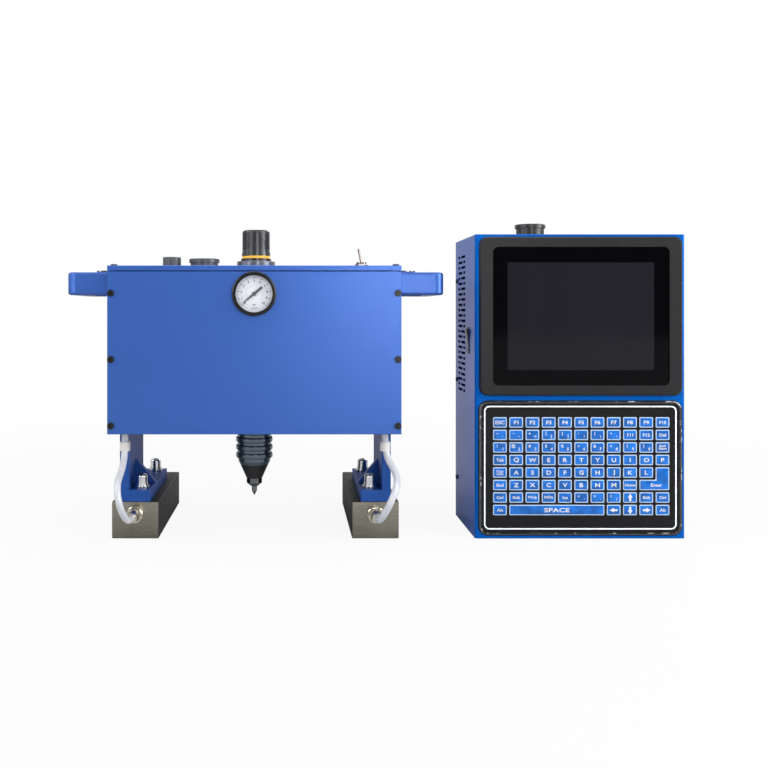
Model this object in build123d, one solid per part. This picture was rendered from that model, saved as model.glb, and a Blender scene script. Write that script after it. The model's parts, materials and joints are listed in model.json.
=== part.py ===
from build123d import *
import math
import os

# A pneumatic marking machine in two units: a marking head on magnet feet, and its controller.
# Millimetres, +Z up. The origin is at the middle of the whole part's floor area.
# Head places: x from its middle, y from its case's front face going back, z from the floor.
# Cabinet places: x from its middle, y from its front sheet going back, z from the floor.

# Fits
cut_over = 2.0
shaft_gap = 0.05
seat_gap = 0.1
slide_gap = 0.3

# Head case
case_width = 324.0
case_depth = 200.0
case_height = 186.0
top_thickness = 5.5
cover_thickness = 3.0
cover_gap = 0.8
side_thickness = 8.0
base_thickness = 8.0
plate_edge = 0.6

# Legs and feet
foot_inset = 26.0
foot_width = 53.0
foot_height = 42.0
foot_length = 200.0
foot_setback = 32.0
foot_edge = 0.8
pole_wall = 9.0
pole_width = 17.0
coil_depth = 26.0
coil_recess = 0.5
lead_bore = 5.0
leg_height = 80.0
leg_inset = 0.5
leg_plate_thickness = 10.0
leg_plate_length = 108.0
flange_thickness = 13.0
flange_width = 34.0
flange_length = 150.0
gusset_thickness = 10.0
gusset_width = 24.0
gusset_height = 28.0
leg_edge = 1.0

# Foot bolts
foot_bolt_shank = 8.0
foot_bolt_head = 13.0
foot_bolt_head_height = 10.0
foot_bolt_key = 6.0
foot_bolt_depth = 16.0
foot_bolt_inset_x = 22.0
foot_bolt_inset_y = 18.0
flat_washer_diameter = 17.4
flat_washer_height = 2.4
spring_washer_diameter = 14.6
spring_washer_height = 2.8
spring_washer_split = 1.4

# Plate screws
plate_screw_shank = 4.0
plate_screw_head = 7.6
plate_screw_head_height = 2.3
plate_screw_key = 2.5
plate_screw_length = 12.0
plate_screw_low = 9.5
plate_screw_high = 25.0
plate_screw_back = 20.0
leg_screw_shank = 5.0
leg_screw_head = 8.5
leg_screw_head_height = 5.0
leg_screw_key = 4.0
leg_screw_length = 22.0
leg_screw_pitch = 36.0
handle_screw_shank = 6.0
handle_screw_head = 10.0
handle_screw_head_height = 6.0
handle_screw_key = 5.0
handle_screw_length = 26.0

# Handles and strap rings
handle_proud = 52.8
handle_length = 120.0
handle_front = 35.0
handle_bar = 14.0
handle_height = 26.0
handle_drop = 0.5
handle_corner = 10.0
handle_inner_corner = 4.0
handle_edge = 3.0
ring_wire = 2.5
ring_width = 24.0
ring_reach = 16.0
ring_corner = 6.0
ring_front = 44.0
knuckle_wall = 1.4
knuckle_length = 10.0
bracket_thickness = 1.6
bracket_height = 20.0

# Pressure gauge
gauge_drop = 25.8
gauge_bezel = 49.0
gauge_proud = 8.0
gauge_rim = 2.5
gauge_can_depth = 24.0
gauge_view_rim = 4.2
gauge_lens_rim = 2.0
gauge_lens_thickness = 1.6
gauge_lip = 0.8
gauge_dial_thickness = 0.8
gauge_dial_depth = 4.8
gauge_wall = 1.5
gauge_stem = 12.0
gauge_thread = 10.0
gauge_thread_length = 8.0
pointer_hub = 4.6
pointer_spindle = 2.0
pointer_length = 16.0
pointer_tail = 11.5
pointer_tip_width = 0.8
pointer_root_width = 2.8
pointer_thickness = 0.6
pointer_rise = 0.7
pointer_rest_angle = 220.0

# Regulator
regulator_y = 55.0
regulator_width = 40.0
regulator_body_height = 46.0
regulator_neck = 30.0
regulator_nut = 44.0
regulator_nut_height = 7.0
regulator_collar = 35.0
regulator_collar_height = 3.0
knob_ring_diameter = 32.0
knob_ring_height = 3.0
knob_ring_bore = 24.0
knob_lift = 2.5
knob_diameter = 31.6
knob_skirt = 33.0
knob_skirt_height = 4.0
knob_height = 29.5
knob_edge = 2.4
knob_rib_count = 48
knob_rib_depth = 0.5
knob_rib_width = 1.0
knob_rib_margin = 3.0
spindle_diameter = 8.0
spindle_depth = 42.0
spindle_rise = 23.0
knob_top_room = 3.0

# Toggle switch
toggle_inset = 40.2
toggle_bushing = 12.0
toggle_bushing_bore = 7.0
toggle_rise = 6.0
toggle_pivot_drop = 2.0
toggle_nut_flats = 13.4
toggle_nut_height = 4.0
toggle_body_width = 13.0
toggle_body_length = 27.0
toggle_body_height = 22.0
toggle_lever_length = 18.4
toggle_lever_tip = 2.3
toggle_lever_root = 2.0
toggle_ball = 5.0
toggle_tilt = 11.3

# Round sockets
data_socket_x = -59.8
bayonet_body = 32.0
bayonet_lip = 35.0
bayonet_lip_height = 4.6
bayonet_rise = 10.0
bayonet_bore = 26.0
bayonet_bore_depth = 6.0
bayonet_shank = 24.0
bayonet_notch = 5.0
bayonet_notch_depth = 1.2
bayonet_notch_count = 3
socket_nut_height = 4.0
socket_nut_wall = 3.0
socket_shank_depth = 18.0
contact_bore = 1.6
contact_depth = 3.0
contact_circle = 17.0
contact_count = 12
magnet_socket_x = -97.3
small_socket_body = 21.0
small_socket_rise = 12.0
small_socket_bore = 15.0
small_socket_bore_depth = 9.0
small_socket_shank = 14.0
small_contact_circle = 7.0
small_contact_count = 4

# Cables of the magnets. The route is the right cable's, with x from the magnet's middle, and the left one
# mirrors it.
cable_diameter = 7.5
cable_route = [
    (0.0, 8.0, 28.0), (0.0, -6.7, 28.0), (3.3, -19.3, 35.1), (9.0, -25.7, 47.1), (15.2, -24.2, 60.2),
    (20.0, -15.2, 70.7), (19.9, 6.2, 80.2), (10.0, 22.0, 95.9), (10.0, 22.0, 120.0),
]
cable_turn_share = 0.45
gland_nut = 19.0
gland_nut_height = 7.0
gland_body = 15.0
gland_body_height = 7.0
gland_dome = 14.0
gland_mouth = 11.0
gland_thread = 12.0
gland_thread_length = 8.0
grommet_flange = 13.0
grommet_flange_height = 2.0
grommet_shank = 9.0
grommet_rise = 4.0
clip_bore = 9.2
clip_wall = 1.2
clip_height = 10.0
clip_low = 101.0
clip_neck_width = 8.0

# Y drive
rail_width = 12.0
rail_height = 8.0
rail_end_room = 3.0
rail_screw_bore = 3.5
rail_screw_pitch = 25.0
rail_drop = 4.25
block_width = 27.0
block_height = 13.0
block_base_room = 3.0
y_block_length = 34.0
beam_y = 128.0
beam_thickness = 12.0
beam_height = 40.0
beam_end_thickness = 4.0
beam_pocket = 30.0
beam_pocket_depth = 4.0
beam_pocket_count = 5
beam_pocket_pitch = 48.0
screw_diameter = 8.0
y_screw_inset = 26.0
y_screw_room = 8.0
y_bearing_front = 6.0
y_bearing_length = 10.0
bearing_height = 20.0
bearing_width = 20.0
motor_width = 42.0
motor_length = 34.0
motor_corner = 4.0
motor_shaft_room = 12.0
motor_plate_thickness = 4.0
y_motor_room = 10.0
y_arm_length = 52.0
y_nut_length = 14.0
y_arm_thickness = 6.0
y_arm_width = 20.0
y_travel = 100.0

# X drive and stylus
x_rail_room = 17.0
x_block_length = 45.4
carriage_width = 48.0
carriage_thickness = 6.0
carriage_margin = 1.0
carriage_rise = 4.0
x_screw_y = 117.0
x_motor_room = 16.0
x_bearing_inset = 29.0
x_bearing_length = 10.0
x_nut_width = 24.0
x_nut_height = 20.0
x_nut_depth = 16.0
x_travel = 150.0
stylus_rest_x = -3.2
clamp_width = 40.0
clamp_drop = 26.0
clamp_height = 40.0
clamp_reach = 18.0
clamp_slit = 2.0
barrel_diameter = 30.0
barrel_low = 80.0
barrel_rise = 6.0
barrel_bore = 22.0
barrel_wall = 4.0
barrel_port = 10.0
barrel_port_height = 9.0
sleeve_low = 76.0
sleeve_high = 139.0
sleeve_foot_wall = 1.8
sleeve_foot_height = 4.0
sleeve_band_wall = 4.0
sleeve_band_height = 3.2
sleeve_groove_wall = 5.0
sleeve_rib_proud = 1.8
sleeve_rib_height = 6.2
sleeve_rib_pitch = 9.3
sleeve_rib_edge = 1.7
cone_low = 59.4
cone_tip = 18.6
nozzle_diameter = 18.4
nozzle_height = 5.6
nozzle_taper_height = 4.4
nozzle_tip = 7.6
nozzle_seat = 12.0
nozzle_seat_height = 5.0
pin_diameter = 6.0
pin_tip = 38.8
pin_point_height = 5.4
pin_flat = 0.5
pin_room = 0.5
piston_low = 150.0
piston_height = 12.0
spring_wire = 1.2
spring_radius = 6.4
spring_turns = 12
air_stub = 6.4
air_stub_low = 112.0
air_stub_high = 150.0
air_stub_taper = 7.0
window_gap = 1.5

# Air parts
valve_x = 80.0
valve_y = 140.0
valve_width = 40.0
valve_depth = 22.0
valve_height = 30.0
valve_coil_width = 30.0
valve_coil_height = 18.0
inlet_x = 100.0
inlet_drop = 32.5
inlet_hex = 14.0
inlet_hex_height = 6.0
inlet_collar = 11.0
inlet_length = 14.0
inlet_bore = 6.1
inlet_bore_depth = 11.0
inlet_thread = 10.0
inlet_thread_length = 10.0

# Cabinet of the controller
unit_gap = 34.2
cabinet_setback = 32.0
cabinet_width = 238.0
cabinet_height = 345.0
cabinet_depth = 130.0
sheet = 1.6
cabinet_corner = 3.0
bezel_margin = 4.5
bezel_height = 179.5
bezel_drop = 93.0
bezel_proud = 5.0
bezel_corner = 9.0
bezel_edge = 1.6
glass_margin_x = 14.75
glass_margin_z = 11.45
glass_corner = 6.5
glass_thickness = 3.0
display_margin_x = 8.25
display_margin_z = 7.8
display_thickness = 9.0
display_room = 3.5
overlay_margin = 3.5
overlay_gap = 5.75
overlay_corner = 11.0
overlay_thickness = 1.0
key_gap_x = 3.0
key_gap_z = 2.46
key_rise = 0.5
key_corner = 1.2
key_field_margin_x = 28.6
key_field_margin_z = 39.72
key_field_right = 0.8
key_field_up = 2.2
key_columns = 11
key_rows = 8
slot_rows = 26
slot_pitch = 6.46
slot_height = 3.2
slot_long = 28.0
slot_short = 14.0
slot_between = 5.0
slot_drop = 183.0
slot_inset = 69.0
rocker_y = 42.0
rocker_drop = 121.5
rocker_bezel_width = 14.0
rocker_bezel_height = 31.0
rocker_bezel_proud = 1.0
rocker_bezel_wall = 1.8
rocker_depth = 22.0
rocker_paddle_radius = 26.0
rocker_paddle_proud = 0.8
rocker_paddle_depth = 6.0
rocker_pin = 2.4
rocker_tilt = 6.0
rocker_room = 0.5
cabinet_socket_x = -46.8
cabinet_socket_y = 40.0
cabinet_socket_rise = 14.0
cabinet_screw_shank = 3.0
cabinet_screw_head = 5.6
cabinet_screw_head_height = 1.8
cabinet_screw_key = 2.0
cabinet_screw_length = 7.0
cabinet_screw_inset = 14.0
cabinet_screw_end = 50.0
rear_flange = 21.0
fan_size = 80.0
fan_depth = 25.0
fan_wall = 2.0
fan_inset = 64.0
fan_drop = 60.0
fan_hub = 36.0
fan_blade_count = 7
fan_blade_angle = 35
fan_blade_root = 1.4
fan_tip_gap = 1.4
fan_blade_depth = 16.0
fan_blade_thickness = 1.4
fan_shaft = 4.0
fan_strut = 5.0
fan_strut_depth = 3.0
guard_wire = 2.0
guard_hub = 8.0
guard_ring_count = 3
inlet_panel_x = 60.0
inlet_panel_z = 45.0
inlet_panel_width = 48.0
inlet_panel_height = 27.5
inlet_panel_corner = 3.0
inlet_flange_width = 62.0
inlet_flange_height = 34.0
inlet_flange_thickness = 2.4
inlet_body_depth = 26.0
inlet_well_width = 24.5
inlet_well_height = 16.5
inlet_well_depth = 17.0
inlet_pin_width = 4.0
inlet_pin_thickness = 2.0
inlet_pin_length = 14.0
inlet_pin_pitch = 7.0
inlet_pin_drop = 3.0
board_width = 170.0
board_height = 120.0
board_thickness = 1.6
board_standoff = 8.0
standoff_diameter = 6.0
standoff_inset = 8.0
chip_size = 28.0
chip_height = 9.0
supply_width = 97.0
supply_height = 159.0
supply_depth = 30.0
supply_inset = 8.5
supply_low = 10.0
driver_width = 86.0
driver_depth = 55.0
driver_height = 20.5
driver_inset = 21.0
driver_room = 6.0
driver_pitch = 40.0

# Places worked out from the sizes above
case_bottom = foot_height + leg_height
case_top = case_bottom + case_height
top_under = case_top - top_thickness
case_half = case_width / 2
inner_half = case_half - side_thickness
case_back = case_depth - cover_thickness
base_top = case_bottom + base_thickness
leg_outer = inner_half - leg_inset
leg_mid = leg_outer - leg_plate_thickness / 2
handle_top = top_under - handle_drop
handle_z = handle_top - handle_height / 2
gauge_z = top_under - gauge_drop
foot_centre_x = case_half - foot_inset
toggle_x = case_half - toggle_inset
gauge_can = gauge_bezel - 2 * gauge_rim
gauge_view = gauge_bezel - 2 * gauge_view_rim
gauge_lens_diameter = gauge_bezel - 2 * gauge_lens_rim
inlet_z = top_under - inlet_drop
cable_x = foot_centre_x + cable_route[-1][0]
cable_y = cable_route[-1][1]
gland_x = foot_centre_x + cable_route[0][0]
gland_y = cable_route[0][1]
gland_z = cable_route[0][2]
rail_z = (base_top + top_under) / 2 - rail_drop
beam_low = rail_z - beam_height / 2
beam_top = rail_z + beam_height / 2
beam_end = inner_half - block_height
x_rail_half = beam_end - beam_end_thickness - x_rail_room
x_motor_front = inner_half - x_motor_room - motor_length
x_bearing_x = x_bearing_inset - inner_half
x_screw_z = beam_low - motor_width / 2
y_screw_x = y_screw_inset - inner_half
y_screw_z = beam_top + y_screw_room + motor_width / 2
y_motor_front = case_back - y_motor_room - motor_length
y_nut_front = beam_y - y_arm_length
carriage_back = beam_y - beam_thickness / 2 - block_height
carriage_low = x_screw_z - x_nut_height / 2 - carriage_margin
carriage_high = beam_top + carriage_rise
clamp_low = rail_z - clamp_drop
stylus_y = carriage_back - carriage_thickness - barrel_diameter / 2
barrel_high = clamp_low + clamp_height + barrel_rise
sleeve_foot = barrel_diameter + 2 * sleeve_foot_wall
sleeve_band = barrel_diameter + 2 * sleeve_band_wall
sleeve_groove = barrel_diameter + 2 * sleeve_groove_wall
sleeve_rib = sleeve_groove + 2 * sleeve_rib_proud
pin_bore = pin_diameter + 2 * pin_room
bezel_width = cabinet_width - 2 * bezel_margin
bezel_centre = cabinet_height - bezel_drop
glass_width = bezel_width - 2 * glass_margin_x
glass_height = bezel_height - 2 * glass_margin_z
display_width = glass_width - 2 * display_margin_x
display_height = glass_height - 2 * display_margin_z
overlay_width = cabinet_width - 2 * overlay_margin
overlay_high = bezel_centre - bezel_height / 2 - overlay_gap
key_pitch_x = (overlay_width - key_field_margin_x) / key_columns
key_pitch_z = (overlay_high - overlay_margin - key_field_margin_z) / key_rows
key_width = key_pitch_x - key_gap_x
key_height = key_pitch_z - key_gap_z
slot_low = cabinet_height - slot_drop
slot_front = cabinet_depth - slot_inset
rocker_z = cabinet_height - rocker_drop
cabinet_screw_heights = [cabinet_screw_end, cabinet_height / 2, cabinet_height - cabinet_screw_end]
fan_bore = fan_size - 2 * fan_wall
fan_x = cabinet_width / 2 - fan_inset
fan_z = cabinet_height - fan_drop
fan_blade_span = (fan_bore - fan_hub) / 2 - fan_tip_gap + fan_blade_root
guard_ring_step = (fan_bore / 2 - guard_hub) / guard_ring_count
supply_x = supply_inset + supply_width / 2 - cabinet_width / 2
driver_x = cabinet_width / 2 - driver_inset - driver_width / 2
driver_low = supply_low + supply_height + driver_room
overall_width = case_width + 2 * handle_proud + unit_gap + cabinet_width + cabinet_screw_head_height
overall_depth = gauge_proud + foot_setback + foot_length
head_place = Pos(handle_proud + case_half - overall_width / 2, gauge_proud - overall_depth / 2, 0)
cabinet_right = overall_width / 2 - cabinet_screw_head_height
cabinet_place = Pos(cabinet_right - cabinet_width / 2, cabinet_setback + gauge_proud - overall_depth / 2, 0)

up = (0, 0, 1)
front, rear = (0, -1, 0), (0, 1, 0)
left, right = (-1, 0, 0), (1, 0, 0)
sides = (-1, 1)


# Shapes that many pieces use
def block(x_low, x_high, y_low, y_high, z_low, z_high):
    size = Box(x_high - x_low, y_high - y_low, z_high - z_low, align=(Align.MIN, Align.MIN, Align.MIN))
    return Pos(x_low, y_low, z_low) * size


def slab_z(outline, z_low, z_high):
    """An outline in x and y, thickened from one height to another."""
    return extrude(Plane((0, 0, z_low)) * outline, amount=z_high - z_low)


def slab_y(outline, y_low, y_high):
    """An outline in x and z, thickened from front to back."""
    plane = Plane((0, y_high, 0), x_dir=right, z_dir=front)
    return extrude(plane * outline, amount=y_high - y_low)


def slab_x(outline, x_low, x_high):
    """An outline in y and z, thickened from left to right."""
    plane = Plane((x_low, 0, 0), x_dir=rear, z_dir=right)
    return extrude(plane * outline, amount=x_high - x_low)


def rod_z(x, y, diameter, z_low, z_high):
    return slab_z(Pos(x, y) * Circle(diameter / 2), z_low, z_high)


def rod_y(x, z, diameter, y_low, y_high):
    return slab_y(Pos(x, z) * Circle(diameter / 2), y_low, y_high)


def rod_x(y, z, diameter, x_low, x_high):
    return slab_x(Pos(y, z) * Circle(diameter / 2), x_low, x_high)


def seat(x, y, z, outward):
    """The place of a piece that is drawn standing up from the origin."""
    return Plane(origin=(x, y, z), z_dir=outward).location


def hexagon(flats):
    return RegularPolygon(flats / 2, 6, major_radius=False)


def socket_screw(head, head_height, shank, length, key):
    """A screw whose head stands on the origin and whose shank points down."""
    key_depth_share = 0.55
    rim_share = 0.25
    cap = rod_z(0, 0, head, 0, head_height)
    cap = fillet(cap.edges().sort_by(Axis.Z)[-1], head_height * rim_share)
    cap += rod_z(0, 0, shank, -length, 0)
    return cap - slab_z(hexagon(key), head_height * (1 - key_depth_share), head_height + cut_over)


def group(*shapes):
    """Separate solids that share one node."""
    return Compound([solid for shape in shapes for solid in shape.solids()])


def both_sides(shape):
    return group(shape, mirror(shape, about=Plane.YZ))


def upright_edges(shape):
    return shape.edges().filter_by(Axis.Z)


# Where screws go through the head's plates
def cover_screw_seats():
    x = case_half - side_thickness / 2
    low, high = case_bottom + plate_screw_low, top_under - plate_screw_high
    return [(side * x, z) for side in sides for z in (low, (low + high) / 2, high)]


def top_screw_seats():
    x = case_half - side_thickness / 2
    return [(side * x, y) for side in sides for y in (plate_screw_back, case_depth - plate_screw_back)]


def base_screw_seats():
    z = case_bottom + base_thickness / 2
    return [(y, z) for y in (2 * plate_screw_back, case_depth - 2 * plate_screw_back)]


def handle_leg_middles():
    first = handle_front + handle_bar / 2
    return [first, first + handle_length - handle_bar]


def leg_screw_places():
    middle = foot_setback + leg_plate_length / 2
    return [middle + step * leg_screw_pitch for step in (-1, 0, 1)]


def foot_bolt_places():
    x = leg_outer - foot_bolt_inset_x
    return [(x, foot_setback + foot_bolt_inset_y), (x, foot_setback + flange_length - foot_bolt_inset_y)]


def plate_screw():
    return socket_screw(plate_screw_head, plate_screw_head_height, plate_screw_shank, plate_screw_length,
                        plate_screw_key)


# Head case
def make_cover(y_low, holes):
    """The front or rear sheet, with its screw holes and the round holes listed as x, z and diameter."""
    cover_top = top_under - cover_gap
    sheet_plate = block(-case_half, case_half, y_low, y_low + cover_thickness, case_bottom, cover_top)
    outer = Axis.Y if y_low > 0 else -Axis.Y
    sheet_plate = chamfer(sheet_plate.faces().sort_by(outer)[-1].edges(), plate_edge)
    drilled = [(x, z, plate_screw_shank + 2 * seat_gap) for x, z in cover_screw_seats()] + holes
    for x, z, diameter in drilled:
        sheet_plate -= rod_y(x, z, diameter, y_low - cut_over, y_low + cover_thickness + cut_over)
    return sheet_plate


def make_top_plate():
    plate = block(-case_half, case_half, 0, case_depth, top_under, case_top)
    plate = chamfer(plate.faces().sort_by(Axis.Z)[-1].edges(), plate_edge)
    holes = [(x, y, plate_screw_shank) for x, y in top_screw_seats()]
    holes += [(0, regulator_y, regulator_neck), (toggle_x, regulator_y, toggle_bushing)]
    holes += [(data_socket_x, regulator_y, bayonet_shank), (magnet_socket_x, regulator_y, small_socket_shank)]
    for x, y, diameter in holes:
        plate -= rod_z(x, y, diameter + 2 * seat_gap, top_under - cut_over, case_top + cut_over)
    return plate


def make_side_plate():
    """The right side plate. The left one mirrors it."""
    plate = block(inner_half, case_half, cover_thickness, case_back, case_bottom, top_under)
    shank_end = plate_screw_length + seat_gap
    bore = plate_screw_shank + 2 * seat_gap
    for x, z in cover_screw_seats():
        if x > 0:
            plate -= rod_y(x, z, bore, 0, shank_end)
            plate -= rod_y(x, z, bore, case_depth - shank_end, case_depth)
    for x, y in top_screw_seats():
        if x > 0:
            plate -= rod_z(x, y, bore, case_top - shank_end, case_top)
    for y, z in base_screw_seats():
        plate -= rod_x(y, z, bore, inner_half - cut_over, case_half + cut_over)
    handle_bore = handle_screw_shank + 2 * seat_gap
    for y in handle_leg_middles():
        plate -= rod_x(y, handle_z, handle_bore, inner_half - cut_over, case_half + cut_over)
    return plate


def window_span():
    """The half width of the marking window, and its front and back edges."""
    half_x = x_travel / 2 + sleeve_rib / 2 + seat_gap + air_stub + window_gap
    half_y = y_travel / 2 + sleeve_rib / 2 + window_gap
    return half_x, stylus_y - half_y, stylus_y + half_y


def make_base_plate():
    plate = block(-inner_half, inner_half, cover_thickness, case_back, case_bottom, base_top)
    half_x, window_front, window_back = window_span()
    plate -= block(-half_x, half_x, window_front, window_back, case_bottom - cut_over, base_top + cut_over)
    for side in sides:
        for y, z in base_screw_seats():
            plate -= rod_x(y, z, plate_screw_shank + 2 * seat_gap, side * inner_half - plate_screw_length,
                           side * inner_half + plate_screw_length)
        for y in leg_screw_places():
            plate -= rod_z(side * leg_mid, y, leg_screw_shank + 2 * seat_gap, case_bottom - cut_over,
                           base_top + cut_over)
        plate -= rod_z(side * cable_x, cable_y, grommet_shank + 2 * seat_gap, case_bottom - cut_over,
                       base_top + cut_over)
    return plate


def make_case_screws():
    screw = plate_screw()
    placed = [seat(x, 0, z, front) * screw for x, z in cover_screw_seats()]
    placed += [seat(x, case_depth, z, rear) * screw for x, z in cover_screw_seats()]
    placed += [seat(x, y, case_top, up) * screw for x, y in top_screw_seats()]
    placed += [seat(side * case_half, y, z, (side, 0, 0)) * screw
               for side in sides for y, z in base_screw_seats()]
    leg_screw = socket_screw(leg_screw_head, leg_screw_head_height, leg_screw_shank, leg_screw_length,
                             leg_screw_key)
    placed += [seat(side * leg_mid, y, base_top, up) * leg_screw
               for side in sides for y in leg_screw_places()]
    handle_screw = socket_screw(handle_screw_head, handle_screw_head_height, handle_screw_shank,
                                handle_screw_length, handle_screw_key)
    placed += [seat(side * inner_half, y, handle_z, (-side, 0, 0)) * handle_screw
               for side in sides for y in handle_leg_middles()]
    return group(*placed)


# Legs and feet
def make_leg():
    """The right leg: an upright plate, a foot flange and a gusset between them."""
    plate_back = foot_setback + leg_plate_length
    flange_inner = leg_outer - flange_width
    flange_top = foot_height + flange_thickness
    plate_inner = leg_outer - leg_plate_thickness
    leg = block(plate_inner, leg_outer, foot_setback, plate_back, foot_height, case_bottom)
    leg += block(flange_inner, leg_outer, foot_setback, foot_setback + flange_length, foot_height, flange_top)
    leg = chamfer(upright_edges(leg).sort_by(Axis.Y)[0:2], leg_edge)
    corner = Polyline((plate_inner, flange_top), (plate_inner - gusset_width, flange_top),
                      (plate_inner, flange_top + gusset_height), close=True)
    middle = foot_setback + leg_plate_length / 2
    leg += slab_y(make_face(corner), middle - gusset_thickness / 2, middle + gusset_thickness / 2)
    for x, y in foot_bolt_places():
        leg -= rod_z(x, y, foot_bolt_shank + 2 * seat_gap, foot_height - cut_over, flange_top + cut_over)
    reach = leg_screw_length + seat_gap
    for y in leg_screw_places():
        leg -= rod_z(leg_mid, y, leg_screw_shank + 2 * seat_gap, base_top - reach, base_top)
    return leg


def coil_outline(margin):
    """The racetrack between a magnet's middle pole and its rim."""
    outer = Rectangle(foot_width - 2 * (pole_wall + margin), foot_length - 2 * (pole_wall + margin))
    return outer - Rectangle(pole_width + 2 * margin, foot_length - foot_width + pole_width + 2 * margin)


def make_magnet():
    """The right magnet: a steel body with a slot for its coil, open below."""
    foot_middle = foot_setback + foot_length / 2
    half = foot_width / 2
    body = block(foot_centre_x - half, foot_centre_x + half, foot_setback, foot_setback + foot_length, 0,
                 foot_height)
    body = chamfer(body.edges(), foot_edge)
    body -= slab_z(Pos(foot_centre_x, foot_middle) * coil_outline(0), -cut_over, coil_depth)
    body -= rod_y(gland_x, gland_z, gland_thread + 2 * seat_gap, foot_setback - cut_over,
                  foot_setback + gland_thread_length + seat_gap)
    for x, y in foot_bolt_places():
        bore_low = foot_height + flange_thickness - foot_bolt_stack()
        body -= rod_z(x, y, foot_bolt_shank + 2 * seat_gap, bore_low, foot_height + cut_over)
    return body


def make_coil():
    foot_middle = foot_setback + foot_length / 2
    return slab_z(Pos(foot_centre_x, foot_middle) * coil_outline(seat_gap), coil_recess, coil_depth)


def foot_bolt_stack():
    """How far a foot bolt's shank reaches under the flange's top face."""
    return foot_bolt_depth + flange_thickness


def make_foot_bolts():
    washers = flat_washer_height + spring_washer_height
    bolt = Pos(0, 0, washers) * socket_screw(foot_bolt_head, foot_bolt_head_height, foot_bolt_shank,
                                             washers + foot_bolt_stack() - seat_gap, foot_bolt_key)
    hole = rod_z(0, 0, foot_bolt_shank + 2 * seat_gap, -cut_over, washers + cut_over)
    flat = rod_z(0, 0, flat_washer_diameter, 0, flat_washer_height) - hole
    split_ring = rod_z(0, 0, spring_washer_diameter, flat_washer_height, washers) - hole
    split_half = spring_washer_split / 2
    split_ring -= block(0, spring_washer_diameter, -split_half, split_half, flat_washer_height - cut_over,
                        washers + cut_over)
    flange_top = foot_height + flange_thickness
    places = [Pos(side * x, y, flange_top) for side in sides for x, y in foot_bolt_places()]
    return group(*[place * piece for place in places for piece in (flat, split_ring, bolt)])


# Cables of the magnets
def make_gland():
    """The right gland: a base nut on the magnet's face, and a domed nut that ends at the cable."""
    nut_front = foot_setback - gland_nut_height
    body_front = nut_front - gland_body_height
    nut = rod_y(gland_x, gland_z, gland_thread, foot_setback, foot_setback + gland_thread_length)
    nut += rod_y(gland_x, gland_z, gland_nut, nut_front, foot_setback)
    nut = chamfer(nut.faces().sort_by(Axis.Y)[0].edges(), foot_edge)
    dome = slab_y(Pos(gland_x, gland_z) * hexagon(gland_body), body_front, nut_front)
    tip_plane = Plane((gland_x, body_front, gland_z), z_dir=front)
    tip_length = body_front - gland_y
    dome += loft([tip_plane * Circle(gland_dome / 2),
                  tip_plane.offset(tip_length) * Circle(gland_mouth / 2)])
    return group(nut, dome)


def cable_points(side):
    return [Vector(side * (foot_centre_x + x), y, z) for x, y, z in cable_route]


def make_cable(side, name):
    points = cable_points(side)
    runs = [after - before for before, after in zip(points, points[1:])]
    radii = []
    for run, following in zip(runs, runs[1:]):
        half_turn = math.radians(run.get_angle(following) / 2)
        radii.append(cable_turn_share * min(run.length, following.length) / math.tan(half_turn))
    path = FilletPolyline(*points, radius=radii)
    section = Plane(origin=path @ 0, z_dir=path % 0) * Circle(cable_diameter / 2)
    tube = sweep(section, path=path)
    area = math.pi * (cable_diameter / 2) ** 2
    print(name, "radii", [round(radius, 1) for radius in radii], "length", round(path.length, 1),
          "volume share", round(tube.volume / (area * path.length), 4))
    return tube


def make_cable_clip():
    """A band round the right cable, with a neck back to the leg's front edge."""
    outer = clip_bore + 2 * clip_wall
    half = clip_neck_width / 2
    clip_high = clip_low + clip_height
    band = rod_z(cable_x, cable_y, outer, clip_low, clip_high)
    band += block(cable_x - half, cable_x + half, cable_y, foot_setback, clip_low, clip_high)
    return band - rod_z(cable_x, cable_y, clip_bore, clip_low - cut_over, clip_high + cut_over)


def make_grommet():
    flange_low = case_bottom - grommet_flange_height
    plug = rod_z(cable_x, cable_y, grommet_flange, flange_low, case_bottom)
    plug += rod_z(cable_x, cable_y, grommet_shank, case_bottom, base_top + grommet_rise)
    return plug


# Handles and strap rings
def make_handle():
    """The right handle: a U-shaped bar that stands out from the side plate."""
    outer = case_half + handle_proud
    back = handle_front + handle_length
    low, high = handle_top - handle_height, handle_top
    bar = block(case_half, outer, handle_front, back, low, high)
    bar = fillet(upright_edges(bar).sort_by(Axis.X)[-2:], handle_corner)
    gap = block(case_half - cut_over, outer - handle_bar, handle_front + handle_bar, back - handle_bar,
                low - cut_over, high + cut_over)
    bar -= fillet(upright_edges(gap).sort_by(Axis.X)[-2:], handle_inner_corner)
    rims = bar.faces().filter_by(Axis.Z).edges()
    bar = fillet([edge for edge in rims if edge.center().X > case_half + seat_gap], handle_edge)
    reach = handle_screw_length - side_thickness + seat_gap
    for y in handle_leg_middles():
        bar -= rod_x(y, handle_z, handle_screw_shank + 2 * seat_gap, case_half - cut_over, case_half + reach)
    return bar


def ring_axis():
    """The x and z of a strap ring's hinge line, on the right."""
    knuckle = ring_wire + 2 * (knuckle_wall + shaft_gap)
    return case_half + bracket_thickness + knuckle / 2 - seat_gap, handle_top + slide_gap + ring_wire / 2


def make_strap_bracket():
    x, z = ring_axis()
    knuckle = ring_wire + 2 * (knuckle_wall + shaft_gap)
    y_low = ring_front + (ring_width - knuckle_length) / 2
    y_high = y_low + knuckle_length
    top = z + knuckle / 2
    bracket = block(case_half, case_half + bracket_thickness, y_low, y_high, top - bracket_height, top)
    bracket += rod_x((y_low + y_high) / 2, top - bracket_height * 3 / 4, bracket_height / 4,
                     case_half, case_half + 2 * bracket_thickness)
    bracket += rod_y(x, z, knuckle, y_low, y_high)
    return bracket - rod_y(x, z, ring_wire + 2 * shaft_gap, y_low - cut_over, y_high + cut_over)


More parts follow.
